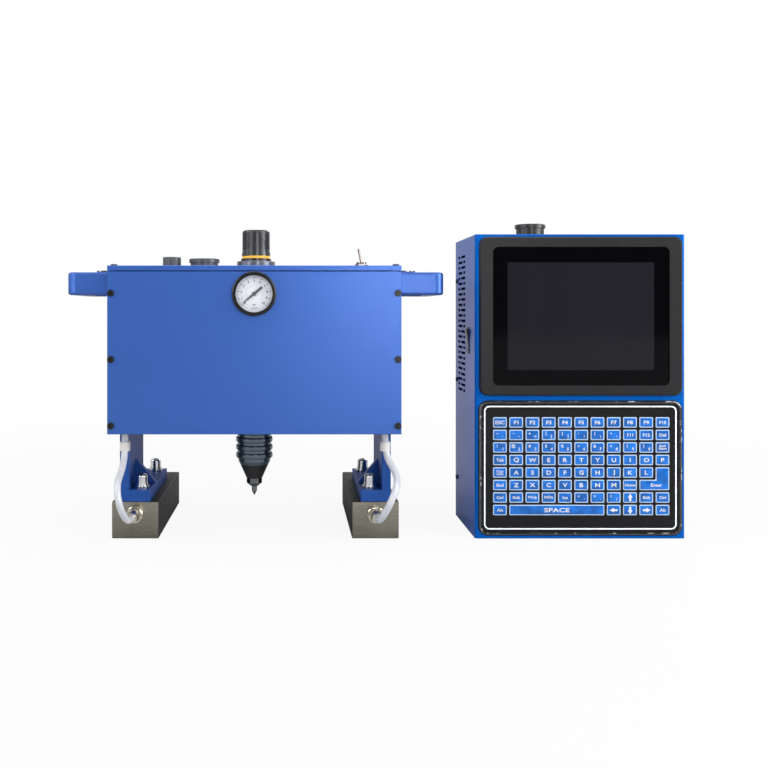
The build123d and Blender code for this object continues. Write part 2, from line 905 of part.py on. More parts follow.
def make_strap_ring():
    """A closed ring of wire that lies flat over the handle, with its straight side in the knuckle."""
    x, z = ring_axis()
    y_mid = ring_front + ring_width / 2
    outline = RectangleRounded(ring_reach, ring_width - ring_wire, ring_corner)
    loop = (Pos(x + ring_reach / 2, y_mid, z) * outline).face().outer_wire()
    start = Plane(origin=loop @ 0, z_dir=loop % 0)
    return sweep(start * Circle(ring_wire / 2), path=loop)


# Pressure gauge
def make_gauge_case():
    bezel_front = -gauge_proud
    bezel = rod_y(0, gauge_z, gauge_bezel, bezel_front, 0)
    bezel = fillet(bezel.edges().sort_by(Axis.Y)[0], gauge_lip * 2)
    can = bezel + rod_y(0, gauge_z, gauge_can, 0, gauge_can_depth)
    lens_front = bezel_front + gauge_lip
    dial_front = bezel_front + gauge_dial_depth
    dial_back = dial_front + gauge_dial_thickness
    seat_diameter = gauge_lens_diameter + 2 * seat_gap
    can -= rod_y(0, gauge_z, gauge_view, bezel_front - cut_over, dial_back)
    can -= rod_y(0, gauge_z, seat_diameter, lens_front, lens_front + gauge_lens_thickness)
    can -= rod_y(0, gauge_z, seat_diameter, dial_front, dial_back)
    can -= rod_y(0, gauge_z, gauge_can - 2 * gauge_wall, dial_back, gauge_can_depth - gauge_wall)
    body_front = regulator_y - regulator_width / 2
    can += slab_y(Pos(0, gauge_z) * hexagon(gauge_stem), gauge_can_depth, body_front)
    can += rod_y(0, gauge_z, gauge_thread, body_front, body_front + gauge_thread_length)
    return can


def make_gauge_lens():
    lens_front = gauge_lip - gauge_proud
    return rod_y(0, gauge_z, gauge_lens_diameter, lens_front, lens_front + gauge_lens_thickness)


def make_gauge_dial():
    dial_front = gauge_dial_depth - gauge_proud
    dial = rod_y(0, gauge_z, gauge_lens_diameter, dial_front, dial_front + gauge_dial_thickness)
    return dial - rod_y(0, gauge_z, pointer_spindle + 2 * shaft_gap, dial_front - cut_over, cut_over)


def make_gauge_pointer():
    """A tapered hand on a hub, drawn along +X and turned to where it rests."""
    dial_front = gauge_dial_depth - gauge_proud
    back = dial_front - pointer_rise
    tip, root = pointer_tip_width / 2, pointer_root_width / 2
    outline = Polyline((-pointer_tail, root), (0, root), (pointer_length, tip), (pointer_length, -tip),
                       (0, -root), (-pointer_tail, -root), close=True)
    hand = slab_y(make_face(outline), back - pointer_thickness, back)
    hand = Rot(0, -pointer_rest_angle, 0) * hand
    hand += rod_y(0, 0, pointer_hub, back - 2 * pointer_thickness, back)
    dial_back = dial_front + gauge_dial_thickness
    hand += rod_y(0, 0, pointer_spindle, back - pointer_thickness, dial_back + gauge_wall)
    return Pos(0, 0, gauge_z) * hand


# Regulator
def make_regulator_body():
    half = regulator_width / 2
    body = block(-half, half, regulator_y - half, regulator_y + half, top_under - regulator_body_height,
                 top_under)
    body = chamfer(upright_edges(body), handle_edge)
    body += rod_z(0, regulator_y, regulator_neck, top_under, case_top + regulator_nut_height)
    spindle_low = case_top + regulator_nut_height - spindle_depth
    body -= rod_z(0, regulator_y, spindle_diameter + 2 * shaft_gap, spindle_low - slide_gap,
                  case_top + regulator_nut_height + cut_over)
    body_front = regulator_y - half
    body -= rod_y(0, gauge_z, gauge_thread + 2 * seat_gap, body_front - cut_over,
                  body_front + gauge_thread_length + seat_gap)
    return body


def make_panel_nut():
    """The nut that clamps the regulator to the top plate, and the collar on it."""
    nut_top = case_top + regulator_nut_height
    nut = rod_z(0, regulator_y, regulator_nut, case_top, nut_top)
    nut = chamfer(nut.edges().sort_by(Axis.Z)[-1], plate_edge)
    nut -= rod_z(0, regulator_y, regulator_neck + 2 * seat_gap, case_top - cut_over, nut_top + cut_over)
    collar_top = nut_top + regulator_collar_height
    collar = rod_z(0, regulator_y, regulator_collar, nut_top, collar_top)
    collar -= rod_z(0, regulator_y, knob_ring_diameter + 2 * slide_gap, nut_top - cut_over,
                    collar_top + cut_over)
    return group(nut, collar)


def knob_low():
    """The height of the pulled-up knob's lower face, under its ring."""
    collar_top = case_top + regulator_nut_height + regulator_collar_height
    return collar_top + slide_gap


def make_regulator_spindle():
    spindle_low = case_top + regulator_nut_height - spindle_depth
    return rod_z(0, regulator_y, spindle_diameter, spindle_low, knob_low() + spindle_rise)


def knob_bore():
    return rod_z(0, regulator_y, spindle_diameter + 2 * shaft_gap, knob_low() - cut_over,
                 knob_low() + spindle_rise + knob_top_room)


def make_knob_ring():
    low = knob_low()
    ring = rod_z(0, regulator_y, knob_ring_diameter, low, low + knob_ring_height)
    return ring - rod_z(0, regulator_y, knob_ring_bore, low - cut_over, low + knob_ring_height + cut_over)


def make_regulator_knob():
    """The ribbed cap, with a boss down through its ring."""
    skirt_low = knob_low() + knob_ring_height
    top = skirt_low + knob_height
    knob = rod_z(0, regulator_y, knob_diameter, skirt_low, top)
    knob = fillet(knob.edges().sort_by(Axis.Z)[-1], knob_edge)
    groove = block(knob_diameter / 2 - knob_rib_depth, knob_diameter, -knob_rib_width / 2, knob_rib_width / 2,
                   skirt_low + knob_skirt_height + knob_rib_margin, top - knob_rib_margin)
    turn = 360 / knob_rib_count
    grooves = [Pos(0, regulator_y, 0) * Rot(0, 0, step * turn) * groove for step in range(knob_rib_count)]
    knob -= grooves
    knob += rod_z(0, regulator_y, knob_skirt, skirt_low, skirt_low + knob_skirt_height)
    knob += rod_z(0, regulator_y, knob_ring_bore - 2 * seat_gap, knob_low(), skirt_low)
    return knob - knob_bore()


# Toggle switch
def toggle_pivot():
    return case_top + toggle_rise - toggle_pivot_drop


def make_toggle_body():
    """The switch under the top plate with its threaded neck, and the nut on it."""
    half_x, half_y = toggle_body_width / 2, toggle_body_length / 2
    neck_top = case_top + toggle_rise
    seat_low = toggle_pivot() - toggle_ball
    nut_top = case_top + toggle_nut_height
    body = block(toggle_x - half_x, toggle_x + half_x, regulator_y - half_y, regulator_y + half_y,
                 top_under - toggle_body_height, top_under)
    body += rod_z(toggle_x, regulator_y, toggle_bushing, top_under, neck_top)
    body -= rod_z(toggle_x, regulator_y, toggle_bushing_bore, seat_low, neck_top + cut_over)
    ball_seat = rod_z(toggle_x, regulator_y, toggle_bushing_bore, seat_low, toggle_pivot())
    body += ball_seat - Pos(toggle_x, regulator_y, toggle_pivot()) * Sphere(toggle_ball / 2 + shaft_gap)
    nut = slab_z(Pos(toggle_x, regulator_y) * hexagon(toggle_nut_flats), case_top, nut_top)
    nut = chamfer(nut.faces().sort_by(Axis.Z)[-1].edges(), plate_edge)
    nut -= rod_z(toggle_x, regulator_y, toggle_bushing + 2 * shaft_gap, case_top - cut_over,
                 nut_top + cut_over)
    return group(body, nut)


def make_toggle_lever():
    lever = loft([Circle(toggle_lever_root / 2),
                  Pos(0, 0, toggle_lever_length) * Circle(toggle_lever_tip / 2)])
    lever = fillet(lever.edges().sort_by(Axis.Z)[-1], toggle_lever_tip / 3)
    lever += Sphere(toggle_ball / 2)
    return Pos(toggle_x, regulator_y, toggle_pivot()) * Rot(0, -toggle_tilt, 0) * lever


# Round sockets
def contact_holes(circle, count, top):
    turn = 360 / count
    hole = rod_z(circle / 2, 0, contact_bore, top - contact_depth, top + cut_over)
    return [Rot(0, 0, step * turn) * hole for step in range(count)]


def make_bayonet_socket(rise, plate_under):
    """A socket on a plate's top face at z = 0, whose lower face is at plate_under."""
    socket = rod_z(0, 0, bayonet_body, 0, rise)
    socket += rod_z(0, 0, bayonet_lip, rise - bayonet_lip_height, rise)
    socket = chamfer(socket.edges().sort_by(Axis.Z)[-1], plate_edge)
    notch = rod_z(bayonet_lip / 2 + bayonet_notch / 2 - bayonet_notch_depth, 0, bayonet_notch,
                  rise - bayonet_lip_height - cut_over, rise + cut_over)
    turn = 360 / bayonet_notch_count
    socket -= [Rot(0, 0, step * turn) * notch for step in range(bayonet_notch_count)]
    socket += rod_z(0, 0, bayonet_shank, -socket_shank_depth, 0)
    insert_top = rise - bayonet_bore_depth
    socket -= rod_z(0, 0, bayonet_bore, insert_top, rise + cut_over)
    socket -= contact_holes(contact_circle, contact_count, insert_top)
    return group(socket, make_socket_nut(bayonet_shank, plate_under))


def make_socket_nut(shank, plate_under):
    nut = slab_z(hexagon(shank + 2 * socket_nut_wall), plate_under - socket_nut_height, plate_under)
    return nut - rod_z(0, 0, shank + 2 * seat_gap, plate_under - 2 * socket_nut_height,
                       plate_under + cut_over)


def make_small_socket():
    socket = rod_z(0, 0, small_socket_body, 0, small_socket_rise)
    socket = chamfer(socket.edges().sort_by(Axis.Z)[-1], plate_edge)
    socket += rod_z(0, 0, small_socket_shank, -socket_shank_depth, 0)
    insert_top = small_socket_rise - small_socket_bore_depth
    socket -= rod_z(0, 0, small_socket_bore, insert_top, small_socket_rise + cut_over)
    socket -= contact_holes(small_contact_circle, small_contact_count, insert_top)
    return group(socket, make_socket_nut(small_socket_shank, -top_thickness))


def make_head_sockets():
    data_socket = make_bayonet_socket(bayonet_rise, -top_thickness)
    return group(Pos(data_socket_x, regulator_y, case_top) * data_socket,
                 Pos(magnet_socket_x, regulator_y, case_top) * make_small_socket())


# Drives inside the case
def make_y_rail():
    """The right rail, on the side plate's inner face."""
    low, high = cover_thickness + rail_end_room, case_back - rail_end_room
    half = rail_width / 2
    rail = block(inner_half - rail_height, inner_half, low, high, rail_z - half, rail_z + half)
    holes = int((high - low) // rail_screw_pitch)
    for step in range(holes):
        y = (low + high) / 2 + (step - (holes - 1) / 2) * rail_screw_pitch
        rail -= rod_x(y, rail_z, rail_screw_bore, inner_half - rail_height - cut_over, inner_half)
    return rail


def make_y_block():
    """The right block, which runs on its rail."""
    half = block_width / 2
    length_half = y_block_length / 2
    inner = inner_half - block_height
    outer = inner_half - block_base_room
    body = block(inner, outer, beam_y - length_half, beam_y + length_half, rail_z - half, rail_z + half)
    groove = rail_width / 2 + shaft_gap
    body -= block(inner_half - rail_height - shaft_gap, outer + cut_over, beam_y - y_block_length,
                  beam_y + y_block_length, rail_z - groove, rail_z + groove)
    return chamfer(upright_edges(body).sort_by(Axis.X)[0:2], plate_edge)


def make_beam():
    """The beam between the Y blocks, the X rail on its front and the arm of the Y nut on top."""
    half = beam_thickness / 2
    length_half = y_block_length / 2
    beam = block(-beam_end, beam_end, beam_y - half, beam_y + half, beam_low, beam_top)
    for side in sides:
        x_low, x_high = sorted((side * beam_end, side * (beam_end - beam_end_thickness)))
        beam += block(x_low, x_high, beam_y - length_half, beam_y + length_half, beam_low, beam_top)
    pocket_half = beam_pocket / 2
    for step in range(beam_pocket_count):
        x = (step - (beam_pocket_count - 1) / 2) * beam_pocket_pitch
        beam -= block(x - pocket_half, x + pocket_half, beam_y + half - beam_pocket_depth,
                      beam_y + half + cut_over, rail_z - pocket_half / 2, rail_z + pocket_half / 2)
    rail_half = rail_width / 2
    rail = block(-x_rail_half, x_rail_half, beam_y - half - rail_height, beam_y - half, rail_z - rail_half,
                 rail_z + rail_half)
    return group(beam, rail, make_y_nut_arm())


def make_y_nut_arm():
    half = y_arm_width / 2
    x_low, x_high = y_screw_x - half, y_screw_x + half
    top = y_screw_z + half
    arm = block(x_low, x_high, y_nut_front, beam_y + beam_thickness / 2, beam_top, beam_top + y_arm_thickness)
    arm += block(x_low, x_high, y_nut_front, y_nut_front + y_nut_length, beam_top, top)
    return arm - rod_y(y_screw_x, y_screw_z, screw_diameter + 2 * shaft_gap, y_nut_front - cut_over,
                       y_nut_front + y_nut_length + cut_over)


def motor_shape():
    """A stepping motor that stands on z = 0 with its shaft bore at the top."""
    body = slab_z(Rectangle(motor_width, motor_width), -motor_length, 0)
    body = chamfer(upright_edges(body), motor_corner)
    return body - rod_z(0, 0, screw_diameter + 2 * shaft_gap, -motor_shaft_room - slide_gap, cut_over)


def make_y_motor():
    """The Y motor on its bracket, and the bearing block at the front end of its screw."""
    half = motor_width / 2
    bracket = block(-inner_half, y_screw_x + half, y_motor_front - motor_plate_thickness, y_motor_front,
                    y_screw_z - half, y_screw_z + half)
    bearing_half = bearing_height / 2
    bearing = block(-inner_half, y_screw_x + bearing_width / 2, y_bearing_front,
                    y_bearing_front + y_bearing_length, y_screw_z - bearing_half, y_screw_z + bearing_half)
    hole = rod_y(y_screw_x, y_screw_z, screw_diameter + 2 * shaft_gap, 0, y_motor_front + cut_over)
    motor = seat(y_screw_x, y_motor_front, y_screw_z, front) * motor_shape()
    return group(motor, bracket - hole, bearing - hole)


def make_y_screw():
    return rod_y(y_screw_x, y_screw_z, screw_diameter, y_bearing_front, y_motor_front + motor_shaft_room)


def make_x_motor():
    """The X motor on its plate, and the bearing block at the far end, all hung under the beam."""
    half = motor_width / 2
    z = x_screw_z
    plate = block(x_motor_front - motor_plate_thickness, x_motor_front, x_screw_y - half, x_screw_y + half,
                  z - half, beam_low)
    bearing = block(x_bearing_x, x_bearing_x + x_bearing_length, x_screw_y - bearing_width / 2,
                    beam_y + beam_thickness / 2, z - bearing_height / 2, beam_low)
    hole = rod_x(x_screw_y, z, screw_diameter + 2 * shaft_gap, x_bearing_x - cut_over,
                 x_motor_front + cut_over)
    motor = seat(x_motor_front, x_screw_y, z, left) * motor_shape()
    return group(motor, plate - hole, bearing - hole)


def make_x_screw():
    return rod_x(x_screw_y, x_screw_z, screw_diameter, x_bearing_x, x_motor_front + motor_shaft_room)


def make_carriage():
    """The plate that carries the stylus, its block on the X rail and the nut of the X screw."""
    back = carriage_back
    half = carriage_width / 2
    plate = block(-half, half, back - carriage_thickness, back, carriage_low, carriage_high)
    plate = chamfer(plate.edges().filter_by(Axis.Y), plate_edge)
    block_half = block_width / 2
    length_half = x_block_length / 2
    runner_back = back + block_height - block_base_room
    runner = block(-length_half, length_half, back, runner_back, rail_z - block_half, rail_z + block_half)
    groove = rail_width / 2 + shaft_gap
    rail_front = beam_y - beam_thickness / 2 - rail_height
    runner -= block(-x_block_length, x_block_length, rail_front - shaft_gap, runner_back + cut_over,
                    rail_z - groove, rail_z + groove)
    nut_half = x_nut_width / 2
    z = x_screw_z
    nut = block(-nut_half, nut_half, back, back + x_nut_depth, z - x_nut_height / 2, z + x_nut_height / 2)
    nut -= rod_x(x_screw_y, z, screw_diameter + 2 * shaft_gap, -x_nut_width, x_nut_width)
    return group(plate, runner, nut)


# Stylus
def make_stylus_clamp():
    half = clamp_width / 2
    high = clamp_low + clamp_height
    front_face = stylus_y - clamp_reach
    clamp = block(-half, half, front_face, carriage_back - carriage_thickness, clamp_low, high)
    clamp = chamfer(upright_edges(clamp).sort_by(Axis.Y)[0:2], handle_edge)
    clamp -= rod_z(0, stylus_y, barrel_diameter + 2 * seat_gap, clamp_low - cut_over, high + cut_over)
    slit = clamp_slit / 2
    return clamp - block(-slit, slit, front_face - cut_over, stylus_y, clamp_low - cut_over,
                         high + cut_over)


def make_stylus_barrel():
    """The air cylinder of the stylus, with a floor, a closed top and an air port."""
    barrel = rod_z(0, stylus_y, barrel_diameter, barrel_low, barrel_high)
    barrel -= rod_z(0, stylus_y, barrel_bore + 2 * shaft_gap, barrel_low + barrel_wall,
                    barrel_high - barrel_wall)
    barrel -= rod_z(0, stylus_y, pin_bore, barrel_low - cut_over, barrel_low + barrel_wall + cut_over)
    return barrel + rod_z(0, stylus_y, barrel_port, barrel_high, barrel_high + barrel_port_height)


def make_stylus_sleeve():
    """The ribbed sleeve over the barrel, and the air stub beside it."""
    band_low = sleeve_low + sleeve_foot_height
    ribs_low = band_low + sleeve_band_height
    sleeve = loft([Pos(0, stylus_y, sleeve_low) * Circle(sleeve_foot / 2),
                   Pos(0, stylus_y, band_low) * Circle(sleeve_band / 2)])
    sleeve += rod_z(0, stylus_y, sleeve_band, band_low, ribs_low)
    sleeve += rod_z(0, stylus_y, sleeve_groove, ribs_low, sleeve_high)
    for step in range(int((sleeve_high - ribs_low) // sleeve_rib_pitch)):
        low = ribs_low + step * sleeve_rib_pitch + sleeve_rib_edge / 2
        rib = rod_z(0, stylus_y, sleeve_rib, low, low + sleeve_rib_height)
        sleeve += fillet(rib.edges().filter_by(GeomType.CIRCLE), sleeve_rib_edge)
    sleeve -= rod_z(0, stylus_y, barrel_diameter + 2 * seat_gap, barrel_low, sleeve_high + cut_over)
    sleeve -= rod_z(0, stylus_y, pin_bore, sleeve_low - cut_over, barrel_low + cut_over)
    return group(sleeve, make_air_stub())


def make_air_stub():
    x = (sleeve_rib + air_stub) / 2 + seat_gap
    taper_high = air_stub_low + air_stub_taper
    tip = Pos(x - air_stub / 4, stylus_y, air_stub_low) * Circle(air_stub / 4)
    stub = loft([tip, Pos(x, stylus_y, taper_high) * Circle(air_stub / 2)])
    return stub + rod_z(x, stylus_y, air_stub, taper_high, air_stub_high)


def make_stylus_cone():
    cone = loft([Pos(0, stylus_y, cone_low) * Circle(cone_tip / 2),
                 Pos(0, stylus_y, sleeve_low) * Circle(sleeve_foot / 2)])
    cone -= rod_z(0, stylus_y, pin_bore, cone_low - cut_over, sleeve_low + cut_over)
    return cone - rod_z(0, stylus_y, nozzle_seat + 2 * seat_gap, cone_low - cut_over,
                        cone_low + nozzle_seat_height)


def nozzle_low():
    return cone_low - nozzle_height - nozzle_taper_height


def make_stylus_nozzle():
    taper_high = cone_low - nozzle_height
    nozzle = rod_z(0, stylus_y, nozzle_diameter, taper_high, cone_low)
    nozzle += loft([Pos(0, stylus_y, nozzle_low()) * Circle(nozzle_tip / 2),
                    Pos(0, stylus_y, taper_high) * Circle(nozzle_diameter / 2)])
    nozzle += rod_z(0, stylus_y, nozzle_seat, cone_low, cone_low + nozzle_seat_height - seat_gap)
    return nozzle - rod_z(0, stylus_y, pin_diameter + 2 * shaft_gap, nozzle_low() - cut_over,
                          cone_low + nozzle_seat_height + cut_over)


def make_stylus_pin():
    """The marking pin with its point, and the piston that drives it."""
    point_high = pin_tip + pin_point_height
    pin = loft([Pos(0, stylus_y, pin_tip) * Circle(pin_flat / 2),
                Pos(0, stylus_y, point_high) * Circle(pin_diameter / 2)])
    pin += rod_z(0, stylus_y, pin_diameter, point_high, piston_low)
    return pin + rod_z(0, stylus_y, barrel_bore, piston_low, piston_low + piston_height)


def helix_point(turn, pitch):
    angle = math.radians(360 * turn)
    return Vector(spring_radius * math.cos(angle), spring_radius * math.sin(angle), pitch * turn)


def helix_direction(turn, pitch):
    angle = math.radians(360 * turn)
    around = 2 * math.pi * spring_radius
    return Vector(-around * math.sin(angle), around * math.cos(angle), pitch).normalized()


def biarc(start, start_way, end, end_way):
    """Two arcs that meet in one direction, from one point and direction to another."""
    chord = end - start
    both = start_way + end_way
    lean = 2 * (1 - start_way.dot(end_way))
    along = chord.dot(both)
    reach = (math.sqrt(along ** 2 + lean * chord.dot(chord)) - along) / lean
    meeting = (start + end + (start_way - end_way) * reach) * 0.5
    first = TangentArc(start, meeting, tangent=start_way)
    return [first, TangentArc(meeting, end, tangent=first % 1)]


def make_pin_spring():
    """The coil spring that lifts the pin, between the barrel's floor and the piston."""
    low = barrel_low + barrel_wall + seat_gap + spring_wire / 2
    high = piston_low - seat_gap - spring_wire / 2
    pitch = (high - low) / spring_turns
    quarters = [step / 4 for step in range(4 * spring_turns + 1)]
    edges = []
    for turn, following in zip(quarters, quarters[1:]):
        edges += biarc(helix_point(turn, pitch), helix_direction(turn, pitch), helix_point(following, pitch),
                       helix_direction(following, pitch))
    path = Wire([edge for line in edges for edge in line.edges()])
    coil = sweep(Plane(origin=path @ 0, z_dir=path % 0) * Circle(spring_wire / 2), path=path)
    points = [path @ (step / (40 * spring_turns)) for step in range(40 * spring_turns + 1)]
    apart = min((points[step + 30] - points[step]).length for step in range(len(points) - 30))
    nearest = min((points[step + 40] - points[step]).length for step in range(len(points) - 40))
    print("pin_spring least gap", round(min(apart, nearest) - spring_wire, 2))
    return Pos(0, stylus_y, low) * coil


# Air parts
def make_valve():
    """The air valve under the top plate: its block and its coil."""
    half_x, half_y = valve_width / 2, valve_depth / 2
    low = top_under - valve_height
    body = block(valve_x - half_x, valve_x + half_x, valve_y - half_y, valve_y + half_y, low, top_under)
    body = chamfer(upright_edges(body), leg_edge)
    coil_half = valve_coil_width / 2
    coil = block(valve_x - coil_half, valve_x + coil_half, valve_y - half_y, valve_y + half_y,
                 low - valve_coil_height, low)
    return group(body, fillet(upright_edges(coil), handle_edge))


def make_air_inlet():
    """A push-in fitting on the rear cover."""
    hex_back = case_depth + inlet_hex_height
    fitting = slab_y(Pos(inlet_x, inlet_z) * hexagon(inlet_hex), case_depth, hex_back)
    fitting += rod_y(inlet_x, inlet_z, inlet_collar, hex_back, case_depth + inlet_length)
    fitting += rod_y(inlet_x, inlet_z, inlet_thread, case_depth - inlet_thread_length, case_depth)
    end = case_depth + inlet_length
    return fitting - rod_y(inlet_x, inlet_z, inlet_bore, end - inlet_bore_depth, end + cut_over)


# Cabinet
def window_outline(width, height, centre, corner):
    return Pos(0, centre) * RectangleRounded(width, height, corner)


def inlet_hole():
    return Pos(inlet_panel_x, inlet_panel_z) * RectangleRounded(inlet_panel_width, inlet_panel_height,
                                                                inlet_panel_corner)


def cooling_slots():
    """Rows of one long and one short slot, which swap ends from row to row."""
    outlines = []
    for row in range(slot_rows):
        z = slot_low + row * slot_pitch
        first, second = (slot_long, slot_short) if row % 2 else (slot_short, slot_long)
        second_front = slot_front + first + slot_between
        outlines.append(Pos(slot_front + first / 2, z) * SlotOverall(first, slot_height))
        outlines.append(Pos(second_front + second / 2, z) * SlotOverall(second, slot_height))
    return outlines


def make_housing():
    half = cabinet_width / 2
    shell = block(-half, half, 0, cabinet_depth, 0, cabinet_height)
    shell = fillet(shell.edges().filter_by(Axis.Z), cabinet_corner)
    shell = fillet(shell.faces().sort_by(Axis.Z)[-1].edges().sort_by(Axis.Y)[0], sheet)
    shell -= block(sheet - half, half - sheet, sheet, cabinet_depth + cut_over, sheet, cabinet_height - sheet)
    display = window_outline(display_width + 2 * display_room, display_height + 2 * display_room,
                             bezel_centre, display_room)
    shell -= slab_y(display, -cut_over, sheet + cut_over)
    slots = Sketch() + cooling_slots()
    shell -= slab_x(slots, -half - cut_over, sheet + cut_over - half)
    body_width, body_height = rocker_body_size()
    rocker = Pos(rocker_y, rocker_z) * Rectangle(body_width + 2 * seat_gap, body_height + 2 * seat_gap)
    shell -= slab_x(rocker, -half - cut_over, sheet + cut_over - half)
    shell -= rod_z(cabinet_socket_x, cabinet_socket_y, bayonet_shank + 2 * seat_gap,
                   cabinet_height - sheet - cut_over, cabinet_height + cut_over)
    bore = cabinet_screw_shank + 2 * seat_gap
    for z in cabinet_screw_heights:
        shell -= rod_x(cabinet_depth - cabinet_screw_inset, z, bore, -half - cut_over, half + cut_over)
    return shell


def make_rear_panel():
    """The rear sheet, with flanges folded forward inside the housing."""
    half = cabinet_width / 2 - sheet - seat_gap
    low, high = sheet + seat_gap, cabinet_height - sheet - seat_gap
    front_edge = cabinet_depth - rear_flange
    back = cabinet_depth - sheet
    panel = block(-half, half, front_edge, cabinet_depth, low, high)
    panel -= block(sheet - half, half - sheet, front_edge - cut_over, back, low + sheet, high - sheet)
    panel -= rod_y(fan_x, fan_z, fan_bore, back - cut_over, cabinet_depth + cut_over)
    panel -= slab_y(inlet_hole(), back - cut_over, cabinet_depth + cut_over)
    bore = cabinet_screw_shank + 2 * seat_gap
    for z in cabinet_screw_heights:
        panel -= rod_x(cabinet_depth - cabinet_screw_inset, z, bore, -cabinet_width, cabinet_width)
    return panel


def make_housing_screws():
    screw = socket_screw(cabinet_screw_head, cabinet_screw_head_height, cabinet_screw_shank,
                         cabinet_screw_length, cabinet_screw_key)
    y = cabinet_depth - cabinet_screw_inset
    half = cabinet_width / 2
    return group(*[seat(side * half, y, z, (side, 0, 0)) * screw
                   for side in sides for z in cabinet_screw_heights])


def make_bezel():
    outline = window_outline(bezel_width, bezel_height, bezel_centre, bezel_corner)
    frame = slab_y(outline, -bezel_proud, 0)
    frame = chamfer(frame.faces().sort_by(Axis.Y)[0].edges(), bezel_edge)
    return frame - slab_y(window_outline(glass_width, glass_height, bezel_centre, glass_corner),
                          -bezel_proud - cut_over, cut_over)


def make_glass():
    width, height = glass_width - 2 * seat_gap, glass_height - 2 * seat_gap
    return slab_y(window_outline(width, height, bezel_centre, glass_corner), -glass_thickness, 0)


def make_display():
    half_x, half_z = display_width / 2, display_height / 2
    module = block(-half_x, half_x, 0, display_thickness, bezel_centre - half_z, bezel_centre + half_z)
    return chamfer(module.faces().sort_by(Axis.Y)[-1].edges(), plate_edge)


def key_outline(first_column, last_column, first_row, last_row):
    """One key over a range of columns from the left and rows from the top."""
    x = ((first_column + last_column) / 2 - (key_columns - 1) / 2) * key_pitch_x + key_field_right
    middle = (overlay_margin + overlay_high) / 2 + key_field_up
    z = middle - ((first_row + last_row) / 2 - (key_rows - 1) / 2) * key_pitch_z
    width = key_width + (last_column - first_column) * key_pitch_x
    height = key_height + (last_row - first_row) * key_pitch_z
    return Pos(x, z) * RectangleRounded(width, height, key_corner)


def key_outlines():
    """All keys. The bottom row has a long bar, and one key at the right is L-shaped."""
    bar_first, bar_last, bar_row = 1, 6, 7
    corner_rows, corner_columns = (4, 5), (9, 10)
    keys = [key_outline(bar_first, bar_last, bar_row, bar_row)]
    corner = key_outline(corner_columns[0], corner_columns[1], corner_rows[1], corner_rows[1])
    keys.append(corner + key_outline(corner_columns[1], corner_columns[1], *corner_rows))
    taken = {(column, bar_row) for column in range(bar_first, bar_last + 1)}
    taken |= {(column, corner_rows[1]) for column in corner_columns} | {(corner_columns[1], corner_rows[0])}
    keys += [key_outline(column, column, row, row) for row in range(key_rows) for column in range(key_columns)
             if (column, row) not in taken]
    return keys


def make_overlay():
    centre = (overlay_margin + overlay_high) / 2
    outline = window_outline(overlay_width, overlay_high - overlay_margin, centre, overlay_corner)
    film = slab_y(outline, -overlay_thickness, 0)
    raised = Sketch() + key_outlines()
    return film + slab_y(raised, -overlay_thickness - key_rise, -overlay_thickness)


def make_electronics():
    """The main board behind the display, two motor drivers and the power supply."""
    board_front = display_thickness + board_standoff
    board_back = board_front + board_thickness
    half_x, half_z = board_width / 2, board_height / 2
    board = block(-half_x, half_x, board_front, board_back, bezel_centre - half_z, bezel_centre + half_z)
    for x_way in sides:
        for z_way in sides:
            x = x_way * (half_x - standoff_inset)
            z = bezel_centre + z_way * (half_z - standoff_inset)
            board += rod_y(x, z, standoff_diameter, display_thickness, board_front)
    for step in (-1, 0, 1):
        chip_x = step * 2 * chip_size
        board += block(chip_x - chip_size / 2, chip_x + chip_size / 2, board_back, board_back + chip_height,
                       bezel_centre - chip_size / 2, bezel_centre + chip_size / 2)
    back = cabinet_depth - sheet
    drivers = [block(driver_x - driver_width / 2, driver_x + driver_width / 2, back - driver_depth, back,
                     driver_low + step * driver_pitch, driver_low + step * driver_pitch + driver_height)
               for step in range(2)]
    supply = block(supply_x - supply_width / 2, supply_x + supply_width / 2, back - supply_depth, back,
                   supply_low, supply_low + supply_height)
    return group(board, *drivers, supply)


# Fan
def fan_back():
    return cabinet_depth - sheet


def make_fan_frame():
    """The frame with its four struts and bearing boss, and the wire guard behind the rear panel."""
    back = fan_back()
    frame = slab_y(Rectangle(fan_size, fan_size), back - fan_depth, back)
    frame = fillet(frame.edges().filter_by(Axis.Y), handle_edge)
    frame -= rod_y(0, 0, fan_bore, back - fan_depth - cut_over, back + cut_over)
    struts = slab_y(Rectangle(fan_size - fan_strut, fan_strut) + Rectangle(fan_strut, fan_size - fan_strut),
                    back - fan_strut_depth, back)
    boss = rod_y(0, 0, fan_hub - fan_strut, back - 2 * fan_strut_depth, back)
    frame += struts + boss
    frame -= rod_y(0, 0, fan_shaft + 2 * shaft_gap, back - fan_depth, back - fan_strut_depth / 2)
    return group(Pos(fan_x, 0, fan_z) * frame, Pos(fan_x, 0, fan_z) * make_guard())


def make_guard():
    outline = Rectangle(fan_size, guard_wire) + Rectangle(guard_wire, fan_size)
    for step in range(guard_ring_count + 1):
        radius = fan_bore / 2 - step * guard_ring_step
        outline += Circle(radius) - Circle(radius - guard_wire)
    return slab_y(outline, cabinet_depth, cabinet_depth + guard_wire)


